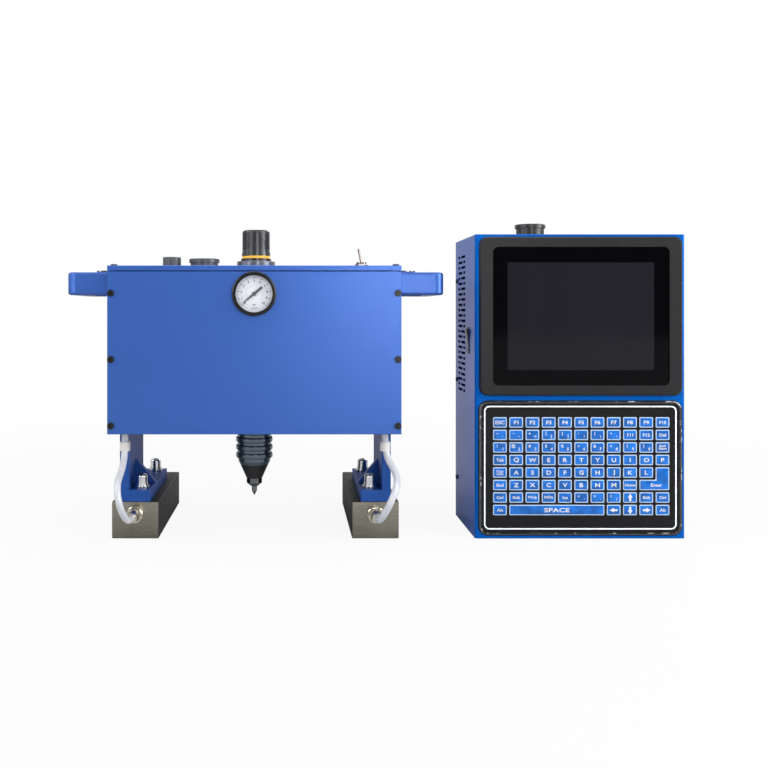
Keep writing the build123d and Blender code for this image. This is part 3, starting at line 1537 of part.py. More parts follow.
def make_fan_rotor():
    front_face = fan_back() - fan_depth + slide_gap * 2
    hub_back = fan_back() - 2 * fan_strut_depth - slide_gap
    rotor = rod_y(0, 0, fan_hub, front_face, hub_back)
    rotor = fillet(rotor.edges().sort_by(Axis.Y)[0], plate_edge)
    blade = Box(fan_blade_span, fan_blade_depth, fan_blade_thickness)
    blade = Rot(fan_blade_angle, 0, 0) * blade
    middle = (front_face + hub_back) / 2
    blade = Pos((fan_hub + fan_blade_span) / 2 - fan_blade_root, middle, 0) * blade
    turn = 360 / fan_blade_count
    rotor += [Rot(0, step * turn, 0) * blade for step in range(fan_blade_count)]
    rotor += rod_y(0, 0, fan_shaft, hub_back, fan_back() - fan_strut_depth / 2 - slide_gap)
    return Pos(fan_x, 0, fan_z) * rotor


# Rocker switch
def rocker_body_size():
    """The width and height of the part of the switch that goes through the sheet."""
    return rocker_bezel_width - 2 * rocker_room, rocker_bezel_height - 4 * rocker_room


def rocker_pivot_x():
    return -cabinet_width / 2 - rocker_bezel_proud + rocker_paddle_depth / 2


def rocker_cavity():
    """The space in the switch that the paddle tips in."""
    width = rocker_bezel_width - 2 * rocker_bezel_wall
    height = rocker_bezel_height - 2 * rocker_bezel_wall
    x_front = -cabinet_width / 2 - rocker_bezel_proud - cut_over
    return slab_x(Pos(rocker_y, rocker_z) * Rectangle(width, height), x_front,
                  rocker_pivot_x() + rocker_paddle_depth)


def make_rocker_body():
    """The switch body with its bezel, standing out from the left side sheet."""
    side_face = -cabinet_width / 2
    body_width, body_height = rocker_body_size()
    flange = Pos(rocker_y, rocker_z) * RectangleRounded(rocker_bezel_width, rocker_bezel_height, rocker_room)
    body = slab_x(flange, side_face - rocker_bezel_proud, side_face)
    body = chamfer(body.faces().sort_by(Axis.X)[0].edges(), rocker_room)
    core = Pos(rocker_y, rocker_z) * Rectangle(body_width, body_height)
    body += slab_x(core, side_face, side_face + rocker_depth)
    body -= rocker_cavity()
    half = rocker_bezel_width / 2
    pin = rod_y(rocker_pivot_x(), rocker_z, rocker_pin, rocker_y - half + rocker_bezel_wall / 2,
                rocker_y + half - rocker_bezel_wall / 2)
    return body + pin


def make_rocker_paddle():
    """A curved paddle that tips about a pin, drawn upright and then tilted to its off position."""
    half_width = rocker_bezel_width / 2 - rocker_bezel_wall - slide_gap
    half_height = rocker_bezel_height / 2 - rocker_bezel_wall - rocker_room
    face = -rocker_paddle_depth / 2 - rocker_paddle_proud / 2
    outer_mid, outer_end = face, face - rocker_paddle_proud
    back = rocker_paddle_depth / 2
    outline = Polyline((outer_end, -half_height), (back, -half_height / 2), (back, half_height / 2),
                       (outer_end, half_height))
    dish = ThreePointArc((outer_end, half_height), (outer_mid, 0), (outer_end, -half_height))
    paddle = slab_y(make_face(outline + dish), -half_width, half_width)
    paddle -= rod_y(0, 0, rocker_pin + 2 * shaft_gap, -rocker_bezel_width, rocker_bezel_width)
    return Pos(rocker_pivot_x(), rocker_y, rocker_z) * Rot(0, -rocker_tilt, 0) * paddle


# Mains inlet
def make_mains_inlet():
    half_w, half_h = inlet_flange_width / 2, inlet_flange_height / 2
    flange = Pos(inlet_panel_x, inlet_panel_z) * RectangleRounded(2 * half_w, 2 * half_h, inlet_panel_corner)
    back = cabinet_depth + inlet_flange_thickness
    body = slab_y(flange, cabinet_depth, back)
    body = chamfer(body.faces().sort_by(Axis.Y)[-1].edges(), plate_edge)
    core = Pos(inlet_panel_x, inlet_panel_z) * RectangleRounded(
        inlet_panel_width - 2 * seat_gap, inlet_panel_height - 2 * seat_gap, inlet_panel_corner)
    body += slab_y(core, cabinet_depth - inlet_body_depth, cabinet_depth)
    well_floor = back - inlet_well_depth
    well = RectangleRounded(inlet_well_width, inlet_well_height, inlet_panel_corner)
    body -= slab_y(Pos(inlet_panel_x, inlet_panel_z) * well, well_floor, back + cut_over)
    pin = Rectangle(inlet_pin_thickness, inlet_pin_width)
    for step, rise in ((-1, -inlet_pin_drop), (0, inlet_pin_drop), (1, -inlet_pin_drop)):
        place = Pos(inlet_panel_x + step * inlet_pin_pitch, inlet_panel_z + rise)
        body += slab_y(place * pin, well_floor - plate_edge, well_floor + inlet_pin_length)
    return body


def stylus_parts():
    """What travels along the X rail, drawn in the middle and put where the stylus rests."""
    parts = {
        "x_carriage": make_carriage(),
        "stylus_clamp": make_stylus_clamp(),
        "stylus_barrel": make_stylus_barrel(),
        "stylus_sleeve": make_stylus_sleeve(),
        "stylus_cone": make_stylus_cone(),
        "stylus_nozzle": make_stylus_nozzle(),
        "marking_pin": make_stylus_pin(),
        "pin_spring": make_pin_spring(),
    }
    return {name: Pos(stylus_rest_x, 0, 0) * shape for name, shape in parts.items()}


def head_parts():
    inlet_cut = [(inlet_x, inlet_z, inlet_thread + 2 * seat_gap)]
    gauge_cut = [(0, gauge_z, gauge_can + 2 * seat_gap)]
    cable = make_cable(1, "magnet_cable_right")
    return {
        "front_cover": make_cover(0, gauge_cut),
        "top_plate": make_top_plate(),
        "rear_cover": make_cover(case_back, inlet_cut),
        "side_plates": both_sides(make_side_plate()),
        "base_plate": make_base_plate(),
        "case_screws": make_case_screws(),
        "legs": both_sides(make_leg()),
        "foot_bolts": make_foot_bolts(),
        "foot_magnets": both_sides(group(make_magnet(), make_coil())),
        "cable_glands": both_sides(make_gland()),
        "magnet_cable_right": cable,
        "magnet_cable_left": mirror(cable, about=Plane.YZ),
        "cable_supports": both_sides(group(make_cable_clip(), make_grommet())),
        "handles": both_sides(make_handle()),
        "strap_brackets": both_sides(make_strap_bracket()),
        "strap_ring_right": make_strap_ring(),
        "strap_ring_left": mirror(make_strap_ring(), about=Plane.YZ),
        "gauge_case": make_gauge_case(),
        "gauge_lens": make_gauge_lens(),
        "gauge_dial": make_gauge_dial(),
        "gauge_pointer": make_gauge_pointer(),
        "regulator_body": make_regulator_body(),
        "regulator_panel_nut": make_panel_nut(),
        "regulator_spindle": make_regulator_spindle(),
        "regulator_knob": make_regulator_knob(),
        "knob_ring": make_knob_ring(),
        "toggle_body": make_toggle_body(),
        "toggle_lever": make_toggle_lever(),
        "head_sockets": make_head_sockets(),
        "y_rails": both_sides(make_y_rail()),
        "y_blocks": both_sides(make_y_block()),
        "y_motor": make_y_motor(),
        "y_screw": make_y_screw(),
        "x_beam": make_beam(),
        "x_motor": make_x_motor(),
        "x_screw": make_x_screw(),
        **stylus_parts(),
        "air_valve": make_valve(),
        "air_inlet": make_air_inlet(),
    }


def cabinet_parts():
    socket_place = Pos(cabinet_socket_x, cabinet_socket_y, cabinet_height)
    return {
        "controller_housing": make_housing(),
        "controller_rear_panel": make_rear_panel(),
        "controller_screws": make_housing_screws(),
        "display_bezel": make_bezel(),
        "screen_glass": make_glass(),
        "display_module": make_display(),
        "keyboard_overlay": make_overlay(),
        "controller_electronics": make_electronics(),
        "fan_frame": make_fan_frame(),
        "fan_rotor": make_fan_rotor(),
        "power_rocker_body": make_rocker_body(),
        "power_rocker_paddle": make_rocker_paddle(),
        "controller_socket": socket_place * make_bayonet_socket(cabinet_socket_rise, -sheet),
        "mains_inlet": make_mains_inlet(),
    }


def export_all():
    os.makedirs("parts", exist_ok=True)
    for place, parts in ((head_place, head_parts()), (cabinet_place, cabinet_parts())):
        for name, shape in parts.items():
            export_step(place * shape, "parts/" + name + ".step")


export_all()
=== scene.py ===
import json
import math

import bmesh
import bpy
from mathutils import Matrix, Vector


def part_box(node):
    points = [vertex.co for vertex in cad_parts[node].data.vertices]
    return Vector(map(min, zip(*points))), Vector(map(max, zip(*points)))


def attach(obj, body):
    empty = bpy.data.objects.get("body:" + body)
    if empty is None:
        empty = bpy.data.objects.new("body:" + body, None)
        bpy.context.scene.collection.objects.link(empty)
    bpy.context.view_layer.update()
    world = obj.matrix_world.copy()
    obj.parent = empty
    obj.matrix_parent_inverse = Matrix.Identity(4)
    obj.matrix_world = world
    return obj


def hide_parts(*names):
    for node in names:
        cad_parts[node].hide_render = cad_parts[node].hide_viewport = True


bl_info = {
    "name": "Nameplate marking machine",
    "version": (1, 0, 0),
    "blender": (4, 5, 0),
    "location": "3D View > Sidebar > Marking",
    "description": "Finishes, lettering, cables and studio for a nameplate marking machine",
    "category": "Object",
}

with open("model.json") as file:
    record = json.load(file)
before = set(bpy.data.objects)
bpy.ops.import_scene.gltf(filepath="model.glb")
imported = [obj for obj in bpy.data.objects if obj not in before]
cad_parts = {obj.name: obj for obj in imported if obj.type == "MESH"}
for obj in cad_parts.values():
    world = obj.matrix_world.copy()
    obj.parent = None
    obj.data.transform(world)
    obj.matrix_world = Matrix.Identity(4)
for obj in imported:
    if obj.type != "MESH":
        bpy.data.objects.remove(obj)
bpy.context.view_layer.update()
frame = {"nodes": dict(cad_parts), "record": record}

# Lengths are in metres. Head places are from the middle of the case's front face at the floor,
# and controller places from the middle of the cabinet's front sheet at the floor.
mm = 0.001
even = (1.0, 1.0, 1.0)
cover_low, cover_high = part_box("front_cover")
cabinet_low, cabinet_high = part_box("controller_housing")
overlay_low, overlay_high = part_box("keyboard_overlay")
glass_low, glass_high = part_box("screen_glass")
dial_low, dial_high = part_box("gauge_dial")
head_middle = (cover_low.x + cover_high.x) / 2
cabinet_middle = (cabinet_low.x + cabinet_high.x) / 2
overlay_middle = (overlay_low.z + overlay_high.z) / 2

# The magnet cables' routes, outwards from their magnets' middles. The left one is pushed inwards a little,
# as in the photograph.
magnet_middle = 0.136
right_route = [
    (0.0, 0.008, 0.028), (0.0, -0.0067, 0.028), (0.0033, -0.0193, 0.0351), (0.009, -0.0257, 0.0471),
    (0.0152, -0.0242, 0.0602), (0.02, -0.0152, 0.0707), (0.0199, 0.0062, 0.0802),
    (0.01, 0.022, 0.0959), (0.01, 0.022, 0.12),
]
left_route = [
    (0.0, 0.008, 0.028), (0.0, -0.0067, 0.028), (0.0023, -0.0193, 0.0331), (0.0062, -0.0277, 0.0451),
    (0.0098, -0.0272, 0.0602), (0.0114, -0.0182, 0.0727), (0.0106, 0.0062, 0.0822),
    (0.01, 0.022, 0.0969), (0.01, 0.022, 0.12),
]
cable_diameter = 0.0075

# Sockets, rocker and stylus
stylus_right, stylus_back = -0.0032, 0.088
head_socket_back, controller_socket_back = 0.055, 0.04
data_socket_right, small_socket_right, controller_socket_right = -0.0598, -0.0973, -0.0468
data_floor, small_floor, controller_floor = 0.312, 0.311, 0.353
data_circle, small_circle = 0.017, 0.007
data_contacts, small_contacts = 12, 4
contact_radius, contact_length, contact_rise, contact_nose = 0.5 * mm, 5.2 * mm, 1.6 * mm, 0.3 * mm
rocker_pivot = (2 * mm, 42 * mm, 0.2235)

# Modelling
merge_distance = 0.005 * mm
corner_steps = 5
letter_steps = 3
line_spacing = 0.8
least_corner = 0.3 * mm
# How far in and how far up a key's top goes at each step, as shares of its rim
crown_steps = ((0.5, 0.14), (0.9, 0.08), (1.4, 0.05))

key_rows = [
    ["ESC", "F1", "F2", "F3", "F4", "F5", "F6", "F7", "F8", "F9", "F10"],
    ["~`", "_-", "+=", "{[", "}]", ":;", "|\\", "\"'", "F11", "F12", "Del"],
    ["!1", "@2", "#3", "$4", "%5", "^6", "&7", "*8", "(9", ")0", "Back\nSpace"],
    ["Tab", "Q", "W", "E", "R", "T", "Y", "U", "I", "O", "P"],
    ["Caps\nLock", "A", "S", "D", "F", "G", "H", "J", "K", "L", None],
    ["End", "Z", "X", "C", "V", "B", "N", "M", "Home", None, None],
    ["Ctrl", "Shift", "PgUp", "PgDn", "Ins", "<,", ">.", "?/", "up", "Shift", "Ctrl"],
    ["Alt", None, None, None, None, None, None, "left", "down", "right", "Alt"],
]
# First and last column, first and last row, legend
space_key = (1, 6, 7, 7, "SPACE")
enter_key = (9, 10, 5, 5, "Enter")
arrow_turns = {"right": 0.0, "up": 0.5 * math.pi, "left": math.pi, "down": 1.5 * math.pi}
key_columns = len(key_rows[0])
key_row_count = len(key_rows)

# Stage: each light's name, place, target, width, height and power in watts
middle, upper, waist = (0.0, 0.0, 0.2), (0.0, -0.05, 0.3), (0.0, -0.05, 0.25)
lights = [
    ("key_light", (1.5, -1.2, 1.1), middle, 0.8, 1.0, 17.0),
    ("edge_light", (0.2, -1.5, 0.46), (-0.05, 0.0, 0.22), 0.2, 0.6, 4.4),
    ("fill_light", (-1.4, -1.6, 1.0), (-0.1, 0.0, 0.2), 1.2, 1.4, 9.5),
    ("left_light", (-1.2, -0.35, 0.8), upper, 0.35, 0.8, 6.0),
    ("right_light", (1.2, -0.45, 0.6), upper, 0.4, 0.9, 11.0),
    ("top_light", (0.0, -0.2, 1.9), middle, 1.6, 1.2, 16.0),
    ("back_light", (0.9, 1.5, 1.1), middle, 1.0, 0.8, 12.0),
    ("left_strip", (-0.9, -0.9, 0.5), waist, 0.06, 0.9, 2.2),
    ("right_strip", (0.9, -0.7, 0.5), waist, 0.06, 0.9, 2.2),
]
world_light, room_in_mirrors, backdrop_in_mirrors = 0.3, 0.25, 0.75
floor_radius = 9.0
camera_place, camera_lens, camera_shift = (-0.0974, -1.167, 0.2578), 44.96, (0.122, -0.095)


def srgb(red, green, blue):
    """A colour as a screen shows it, from 0 to 255, in the linear values that sockets take."""
    shares = [value / 255 for value in (red, green, blue)]
    return tuple(s / 12.92 if s <= 0.04045 else ((s + 0.055) / 1.055) ** 2.4 for s in shares)


def opaque(colour):
    return (*colour, 1.0)


# Materials
class Socket:
    """A socket in a material, on which sums are written as Python expressions."""

    def __init__(self, finish, link):
        self.finish = finish
        self.link = link

    def sum(self, operation, first, second):
        return self.finish.node("ShaderNodeMath", {"operation": operation}, {0: first, 1: second})

    def __add__(self, other):
        return self.sum("ADD", self, other)

    def __radd__(self, other):
        return self.sum("ADD", other, self)

    def __sub__(self, other):
        return self.sum("SUBTRACT", self, other)

    def __rsub__(self, other):
        return self.sum("SUBTRACT", other, self)

    def __mul__(self, other):
        return self.sum("MULTIPLY", self, other)

    def __rmul__(self, other):
        return self.sum("MULTIPLY", other, self)

    def __lt__(self, other):
        return self.sum("LESS_THAN", self, other)

    def __gt__(self, other):
        return self.sum("GREATER_THAN", self, other)

    def __abs__(self):
        return self.sum("ABSOLUTE", self, 0.0)


class Finish:
    """A material or world while it is made. node adds any node that an expression doesn't."""

    def __init__(self, name, library="materials"):
        self.material = getattr(bpy.data, library).new(name)
        self.material.use_nodes = True
        self.tree = self.material.node_tree
        self.tree.nodes.clear()
        self.place = self.node("ShaderNodeTexCoord", output="Object")

    def node(self, kind, settings=None, inputs=None, output=0):
        """Adds a node, and gives one of its outputs if it has any."""
        made = self.tree.nodes.new(kind)
        for name, value in (settings or {}).items():
            if name == "stops":
                self.set_stops(made.color_ramp, value)
            else:
                setattr(made, name, value)
        for name, value in (inputs or {}).items():
            if isinstance(value, Socket):
                self.tree.links.new(value.link, made.inputs[name])
            else:
                made.inputs[name].default_value = value
        return Socket(self, made.outputs[output]) if made.outputs else None

    def set_stops(self, ramp, stops):
        while len(ramp.elements) < len(stops):
            ramp.elements.new(1.0)
        for element, (place, colour) in zip(ramp.elements, stops):
            element.position = place
            element.color = opaque(colour)

    def along(self, axis):
        """The place along one axis, in metres."""
        return self.node("ShaderNodeSeparateXYZ", inputs={0: self.place}, output="XYZ".index(axis))

    def noise(self, scale, stretch=even, detail=3.0):
        """Cloudy values about a half, with scale in clouds per metre."""
        spread = self.node("ShaderNodeMapping", inputs={"Vector": self.place, "Scale": stretch})
        return self.node("ShaderNodeTexNoise",
                         inputs={"Vector": spread, "Scale": scale, "Detail": detail})

    def fade(self, value, low, high, start, end):
        """Runs from start to end while the value runs from low to high, and stays there."""
        ends = {"From Min": low, "From Max": high, "To Min": start, "To Max": end}
        return self.node("ShaderNodeMapRange", {"clamp": True}, {"Value": value, **ends})

    def ray(self, kind):
        return self.node("ShaderNodeLightPath", output=f"Is {kind} Ray")

    def cells(self, scale, output="Distance"):
        return self.node("ShaderNodeTexVoronoi", inputs={"Vector": self.place, "Scale": scale},
                         output=output)

    def mix(self, share, first, second):
        """A colour between two, by a share."""
        ends = {6: first, 7: second}
        ends = {slot: opaque(end) if isinstance(end, tuple) else end for slot, end in ends.items()}
        return self.node("ShaderNodeMix", {"data_type": "RGBA"}, {0: share, **ends}, output=2)

    def ramp(self, value, stops):
        return self.node("ShaderNodeValToRGB", {"stops": stops}, {"Fac": value})

    def bump(self, height, depth, strength=1.0):
        return self.node("ShaderNodeBump",
                         inputs={"Height": height, "Distance": depth, "Strength": strength})

    def surface(self, colour, roughness, normal=None, **more):
        """Ends the material in one surface shader, and gives the material."""
        inputs = {"Base Color": opaque(colour) if isinstance(colour, tuple) else colour,
                  "Roughness": roughness}
        if normal is not None:
            inputs["Normal"] = normal
        inputs.update({name.replace("_", " "): value for name, value in more.items()})
        shader = self.node("ShaderNodeBsdfPrincipled", inputs=inputs)
        self.node("ShaderNodeOutputMaterial", inputs={"Surface": shader})
        return self.material


def tinted(colour, share):
    """The colour made lighter or darker by a share of itself."""
    return tuple(min(1.0, value * (1 + share)) for value in colour)


def metal(name, colour, roughness, grain, depth, stretch=even, tone=0.08, metallic=1.0, **more):
    """Metal with a drawn or ground grain. The stretch is small along the grain."""
    finish = Finish(name)
    lines = finish.noise(grain, stretch, 4.0)
    clouds = finish.noise(26.0)
    shade = finish.mix(0.7 * lines + 0.3 * clouds, tinted(colour, -tone), tinted(colour, tone))
    rough = roughness - 0.06 + 0.08 * clouds + 0.06 * lines
    return finish.surface(shade, rough, finish.bump(lines, depth), Metallic=metallic, **more)


def moulded(name, colour, roughness, grain=2600.0, depth=0.05 * mm, tone=0.06, **more):
    """Moulded plastic with a fine spark-eroded skin and soft unevenness."""
    finish = Finish(name)
    skin = finish.noise(grain, detail=2.0)
    clouds = finish.noise(34.0)
    shade = finish.mix(clouds, tinted(colour, -tone), tinted(colour, tone))
    rough = roughness - 0.05 + 0.1 * clouds
    return finish.surface(shade, rough, finish.bump(skin, depth), **more)


def panel_nut(name):
    """Grey moulded nut with the black collar that stands on it."""
    finish = Finish(name)
    collar_height = 3 * mm
    collar = finish.along("Z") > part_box("regulator_panel_nut")[1].z - collar_height
    clouds = finish.noise(60.0)
    shade = finish.mix(clouds, srgb(84, 86, 96), srgb(112, 114, 126))
    shade = finish.mix(collar, shade, srgb(16, 16, 18))
    return finish.surface(shade, 0.24 + 0.1 * clouds, finish.bump(clouds, 0.02 * mm),
                          Metallic=0.5 - 0.5 * collar)


def anodised_aluminium(name, colour, tint=0.4, coat=0.5, metallic=0.7, **more):
    """Blue anodised plate: a fine bead-blasted grain over faint rolling lines."""
    finish = Finish(name)
    grain = finish.noise(2400.0, detail=3.0)
    lines = finish.noise(420.0, (0.05, 1.0, 1.0), 3.0)
    clouds = finish.noise(9.0)
    cover = 0.45 * grain + 0.25 * lines + 0.3 * clouds
    shade = finish.mix(cover, tinted(colour, -0.07), tinted(colour, 0.07))
    rough = 0.34 + 0.06 * clouds + 0.05 * grain
    return finish.surface(shade, rough, finish.bump(grain + 0.5 * lines, 0.03 * mm), Metallic=metallic,
                          Specular_Tint=opaque(tinted(colour, tint)), Coat_Weight=coat, Coat_Roughness=0.3,
                          **more)


def gloss_enamel(name, colour):
    """Sprayed blue enamel with orange peel under a clear gloss."""
    finish = Finish(name)
    peel = finish.noise(300.0, detail=2.0)
    clouds = finish.noise(14.0)
    shade = finish.mix(clouds, tinted(colour, -0.06), tinted(colour, 0.06))
    return finish.surface(shade, 0.2 + 0.08 * clouds, finish.bump(peel, 0.05 * mm), Metallic=0.25,
                          Specular_IOR_Level=0.3, Specular_Tint=opaque(tinted(colour, 0.5)))


def turned(name, colour, roughness, pitch=900.0, depth=0.02 * mm, metallic=1.0):
    """Metal turned on a lathe about the stylus's axis: fine rings round that axis."""
    finish = Finish(name)
    axis = (-head_middle - stylus_right, -cover_low.y - stylus_back, 0.0)
    centred = finish.node("ShaderNodeMapping", inputs={"Vector": finish.place, "Location": axis})
    rings = finish.node("ShaderNodeTexWave", {"wave_type": "RINGS", "rings_direction": "Z"},
                        {"Vector": centred, "Scale": pitch, "Distortion": 0.4})
    height = finish.noise(pitch, (0.02, 0.02, 1.0))
    clouds = finish.noise(60.0)
    shade = finish.mix(0.5 * height + 0.5 * clouds, tinted(colour, -0.1), tinted(colour, 0.1))
    rough = roughness - 0.05 + 0.1 * clouds
    return finish.surface(shade, rough, finish.bump(0.5 * rings + height, depth), Metallic=metallic)


def ground_magnet_steel(name):
    """Ground steel ends with a warm cast and painted shade that darkens them towards the floor, and the
    other faces painted near black with speckles as painted shade.
    """
    finish = Finish(name)
    lines = finish.noise(900.0, (0.03, 0.03, 1.0), 4.0)
    clouds = finish.noise(22.0)
    spots = finish.noise(420.0, detail=5.0)
    shade = finish.mix(0.6 * lines + 0.4 * clouds, srgb(112, 109, 96), srgb(168, 166, 153))
    # Painted shade: the ground ends darken towards the floor, up to this height.
    painted_shade_height, end_skin = 42 * mm, 0.3 * mm
    height = finish.fade(finish.along("Z"), 0.0, painted_shade_height, 0.45, 0.0)
    shade = finish.mix(height, shade, srgb(74, 72, 60))
    # Painted shade: every face but the two ground ends, the long sides and the top too, is painted near
    # black with speckles, and made rougher and less metallic.
    low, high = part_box("foot_magnets")
    side = abs(finish.along("Y") - (low.y + high.y) / 2) < (high.y - low.y) / 2 - end_skin
    black = finish.mix(spots, srgb(7, 8, 8), srgb(32, 34, 31))
    shade = finish.mix(side, shade, black)
    rough = 0.2 + 0.1 * clouds + 0.08 * lines + 0.3 * side
    return finish.surface(shade, rough, finish.bump(lines + 0.6 * spots, 0.02 * mm),
                          Metallic=1.0 - 0.7 * side, Specular_IOR_Level=0.2)


def cable_sheath(name):
    """Clear soft sheath over a pale braid, which shows as faint diamonds."""
    finish = Finish(name)
    braid = finish.node("ShaderNodeTexChecker", inputs={"Vector": finish.place, "Scale": 900.0},
                        output=1)
    clouds = finish.noise(120.0)
    shade = finish.mix(0.25 * braid + 0.5 * clouds, srgb(168, 170, 178), srgb(206, 208, 214))
    return finish.surface(shade, 0.24 + 0.1 * clouds, finish.bump(clouds, 0.1 * mm), Coat_Weight=0.5,
                          Coat_Roughness=0.1)


def dial_enamel(name):
    """Matte white printed dial, with painted shade that greys it a little towards its rim."""
    finish = Finish(name)
    centre = (dial_low + dial_high) / 2
    centred = finish.node("ShaderNodeMapping",
                          inputs={"Vector": finish.place, "Location": tuple(-centre)})
    reach = finish.node("ShaderNodeVectorMath", {"operation": "LENGTH"}, {0: centred}, output=1)
    speckle = finish.noise(3000.0)
    # Painted shade: the dial greys with distance from its middle, towards the bezel.
    rim_shade_per_metre = 32.0
    share = reach * rim_shade_per_metre + 0.1 * speckle
    shade = finish.mix(share, srgb(218, 219, 226), srgb(190, 192, 204))
    return finish.surface(shade, 0.5 + 0.1 * speckle, finish.bump(speckle, 0.02 * mm))


def clear_lens(name):
    """Thin clear glass with faint wiping smears."""
    finish = Finish(name)
    smears = finish.noise(90.0, (1.0, 1.0, 0.3), 4.0)
    return finish.surface(srgb(225, 235, 240), 0.04 + 0.04 * smears, Alpha=0.02 + 0.03 * smears,
                          Specular_IOR_Level=0.1)


def screen_face(name):
    """Black glass with the switched-off display showing a little greyer through it."""
    finish = Finish(name)
    display_half_width, display_half_height = 82.7 * mm, 60.8 * mm
    centre = (glass_low + glass_high) / 2
    inside_x = abs(finish.along("X") - centre.x) < display_half_width
    inside_z = abs(finish.along("Z") - centre.z) < display_half_height
    smears = finish.noise(30.0, (1.0, 1.0, 0.4), 4.0)
    panel = finish.mix(smears, srgb(24, 23, 28), srgb(28, 27, 32))
    shade = finish.mix(inside_x * inside_z, srgb(2, 2, 4), panel)
    return finish.surface(shade, 0.04 + 0.05 * smears, Specular_IOR_Level=0.1)


def keyboard_film(name):
    """Black printed polyester with a fine emboss and soft waves where it is glued down."""
    finish = Finish(name)
    skin = finish.noise(2800.0)
    waves = finish.noise(16.0)
    shade = finish.mix(waves, srgb(9, 9, 11), srgb(17, 16, 19))
    return finish.surface(shade, 0.22 + 0.1 * waves, finish.bump(skin * 0.02 + waves, 0.0006),
                          Specular_IOR_Level=0.2)


def lacquer_bead(name):
    """Thick black lacquer with a rippled gloss, as it runs up at an edge."""
    finish = Finish(name)
    ripples = finish.noise(40.0, detail=2.0)
    shade = finish.mix(ripples, srgb(8, 8, 9), srgb(26, 24, 25))
    return finish.surface(shade, 0.06 + 0.08 * ripples, finish.bump(ripples, 0.009), Coat_Weight=1.0,
                          Coat_Roughness=0.04)


def key_gloss(name, colour):
    """Blue translucent resin pads, lighter where they are thick."""
    finish = Finish(name)
    pools = finish.noise(95.0, detail=2.0)
    shade = finish.mix(finish.ramp(pools, [(0.38, (0.0, 0.0, 0.0)), (0.62, (1.0, 1.0, 1.0))]),
                       tinted(colour, -0.25), tinted(colour, 0.35))
    return finish.surface(shade, 0.2 + 0.1 * pools, finish.bump(pools, 0.0008), Coat_Weight=0.25,
                          Coat_Roughness=0.08, Specular_IOR_Level=0.3)


def printed_ink(name, colour):
    """Screen-printed ink, slightly uneven in cover."""
    finish = Finish(name)
    cover = finish.noise(1500.0)
    shade = finish.mix(cover, tinted(colour, -0.08), colour)
    return finish.surface(shade, 0.4 + 0.1 * cover, finish.bump(cover, 0.02 * mm))


def circuit_board(name):
    """Green solder mask with tracks and pads."""
    finish = Finish(name)
    tracks = finish.node("ShaderNodeTexBrick", {"offset": 0.4},
                         {"Vector": finish.place, "Scale": 90.0, "Color1": opaque(srgb(16, 84, 46)),
                          "Color2": opaque(srgb(22, 104, 58)),
                          "Mortar": opaque(srgb(70, 140, 84)), "Mortar Size": 0.03})
    pads = finish.cells(420.0) < 0.18
    shade = finish.mix(pads, tracks, srgb(196, 178, 120))
    return finish.surface(shade, 0.42 - 0.1 * pads, finish.bump(pads, 0.1 * mm), Metallic=0.8 * pads)


def hardened_pin(name):
    """Ground steel that darkens to its worked tip."""
    finish = Finish(name)
    worked_length = 9 * mm
    height = (finish.along("Z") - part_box("marking_pin")[0].z) * (1 / worked_length)
    rings = finish.noise(1600.0, (0.05, 0.05, 1.0))
    shade = finish.ramp(height + 0.1 * rings, [(0.1, srgb(52, 52, 54)),
                                               (0.7, srgb(128, 128, 130))])
    return finish.surface(shade, 0.28 + 0.1 * rings, finish.bump(rings, 0.02 * mm), Metallic=1.0)


def dress(target, material):
    """Gives a list of CAD nodes, or all those of a slot, a finish. Their shapes stay."""
    names = target
    if isinstance(target, str):
        names = [part["node"] for part in frame["record"]["subparts"]
                 if part["material_slot"] == target]
        if not names:
            raise RuntimeError(f"no CAD node takes its finish from slot {target}")
    for name in names:
        slots = frame["nodes"][name].material_slots
        for slot in slots:
            slot.material = material
        if not slots:
            frame["nodes"][name].data.materials.append(material)


# Modelling
def only(piece):
    """Selects this piece and nothing else."""
    bpy.ops.object.select_all(action="DESELECT")
    piece.select_set(True)
    bpy.context.view_layer.objects.active = piece


def settle(piece):
    """Puts the piece's place and turn into its mesh."""
    only(piece)
    bpy.ops.object.transform_apply(location=True, rotation=True, scale=True)


def join(pieces, name):
    """Makes one piece of several."""
    bpy.ops.object.select_all(action="DESELECT")
    for piece in pieces:
        piece.select_set(True)
    bpy.context.view_layer.objects.active = pieces[0]
    bpy.ops.object.join()
    whole = bpy.context.view_layer.objects.active
    whole.name = name
    whole.data.name = name
    return whole


def put(piece, x=0.0, y=0.0, z=0.0, turn=0.0):
    """Turns a piece about Z, moves it, and settles it there."""
    piece.rotation_euler = (0.0, 0.0, turn)
    piece.location = (x, y, z)
    settle(piece)


def face_front(piece, x, y, z):
    """Stands a flat piece up to face the front, at a place."""
    piece.rotation_euler = (math.pi / 2, 0.0, 0.0)
    piece.location = (x, y, z)
    settle(piece)


def open_mesh():
    """Opens the active piece's mesh, with all of it selected."""
    bpy.ops.object.mode_set(mode="EDIT")
    bpy.ops.mesh.select_all(action="SELECT")


def close_mesh():
    bpy.ops.object.mode_set(mode="OBJECT")


def select_where(piece, parts, test):
    """Selects those edges or faces of an open mesh that pass a test, and no others."""
    bpy.ops.mesh.select_mode(type=parts.upper())
    bpy.ops.mesh.select_all(action="DESELECT")
    shape = bmesh.from_edit_mesh(piece.data)
    for part in getattr(shape, f"{parts}s"):
        part.select_set(test(part))
    bmesh.update_edit_mesh(piece.data)


def close_up(piece):
    """Merges doubled points and turns all faces outwards."""
    only(piece)
    open_mesh()
    bpy.ops.mesh.remove_doubles(threshold=merge_distance)
    bpy.ops.mesh.normals_make_consistent(inside=False)
    close_mesh()


def finish_piece(piece, material, body):
    """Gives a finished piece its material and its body."""
    piece.data.materials.clear()
    piece.data.materials.append(material)
    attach(piece, body)


def raise_faces(height):
    bpy.ops.mesh.extrude_region_move(TRANSFORM_OT_translate={"value": (0.0, 0.0, height)})


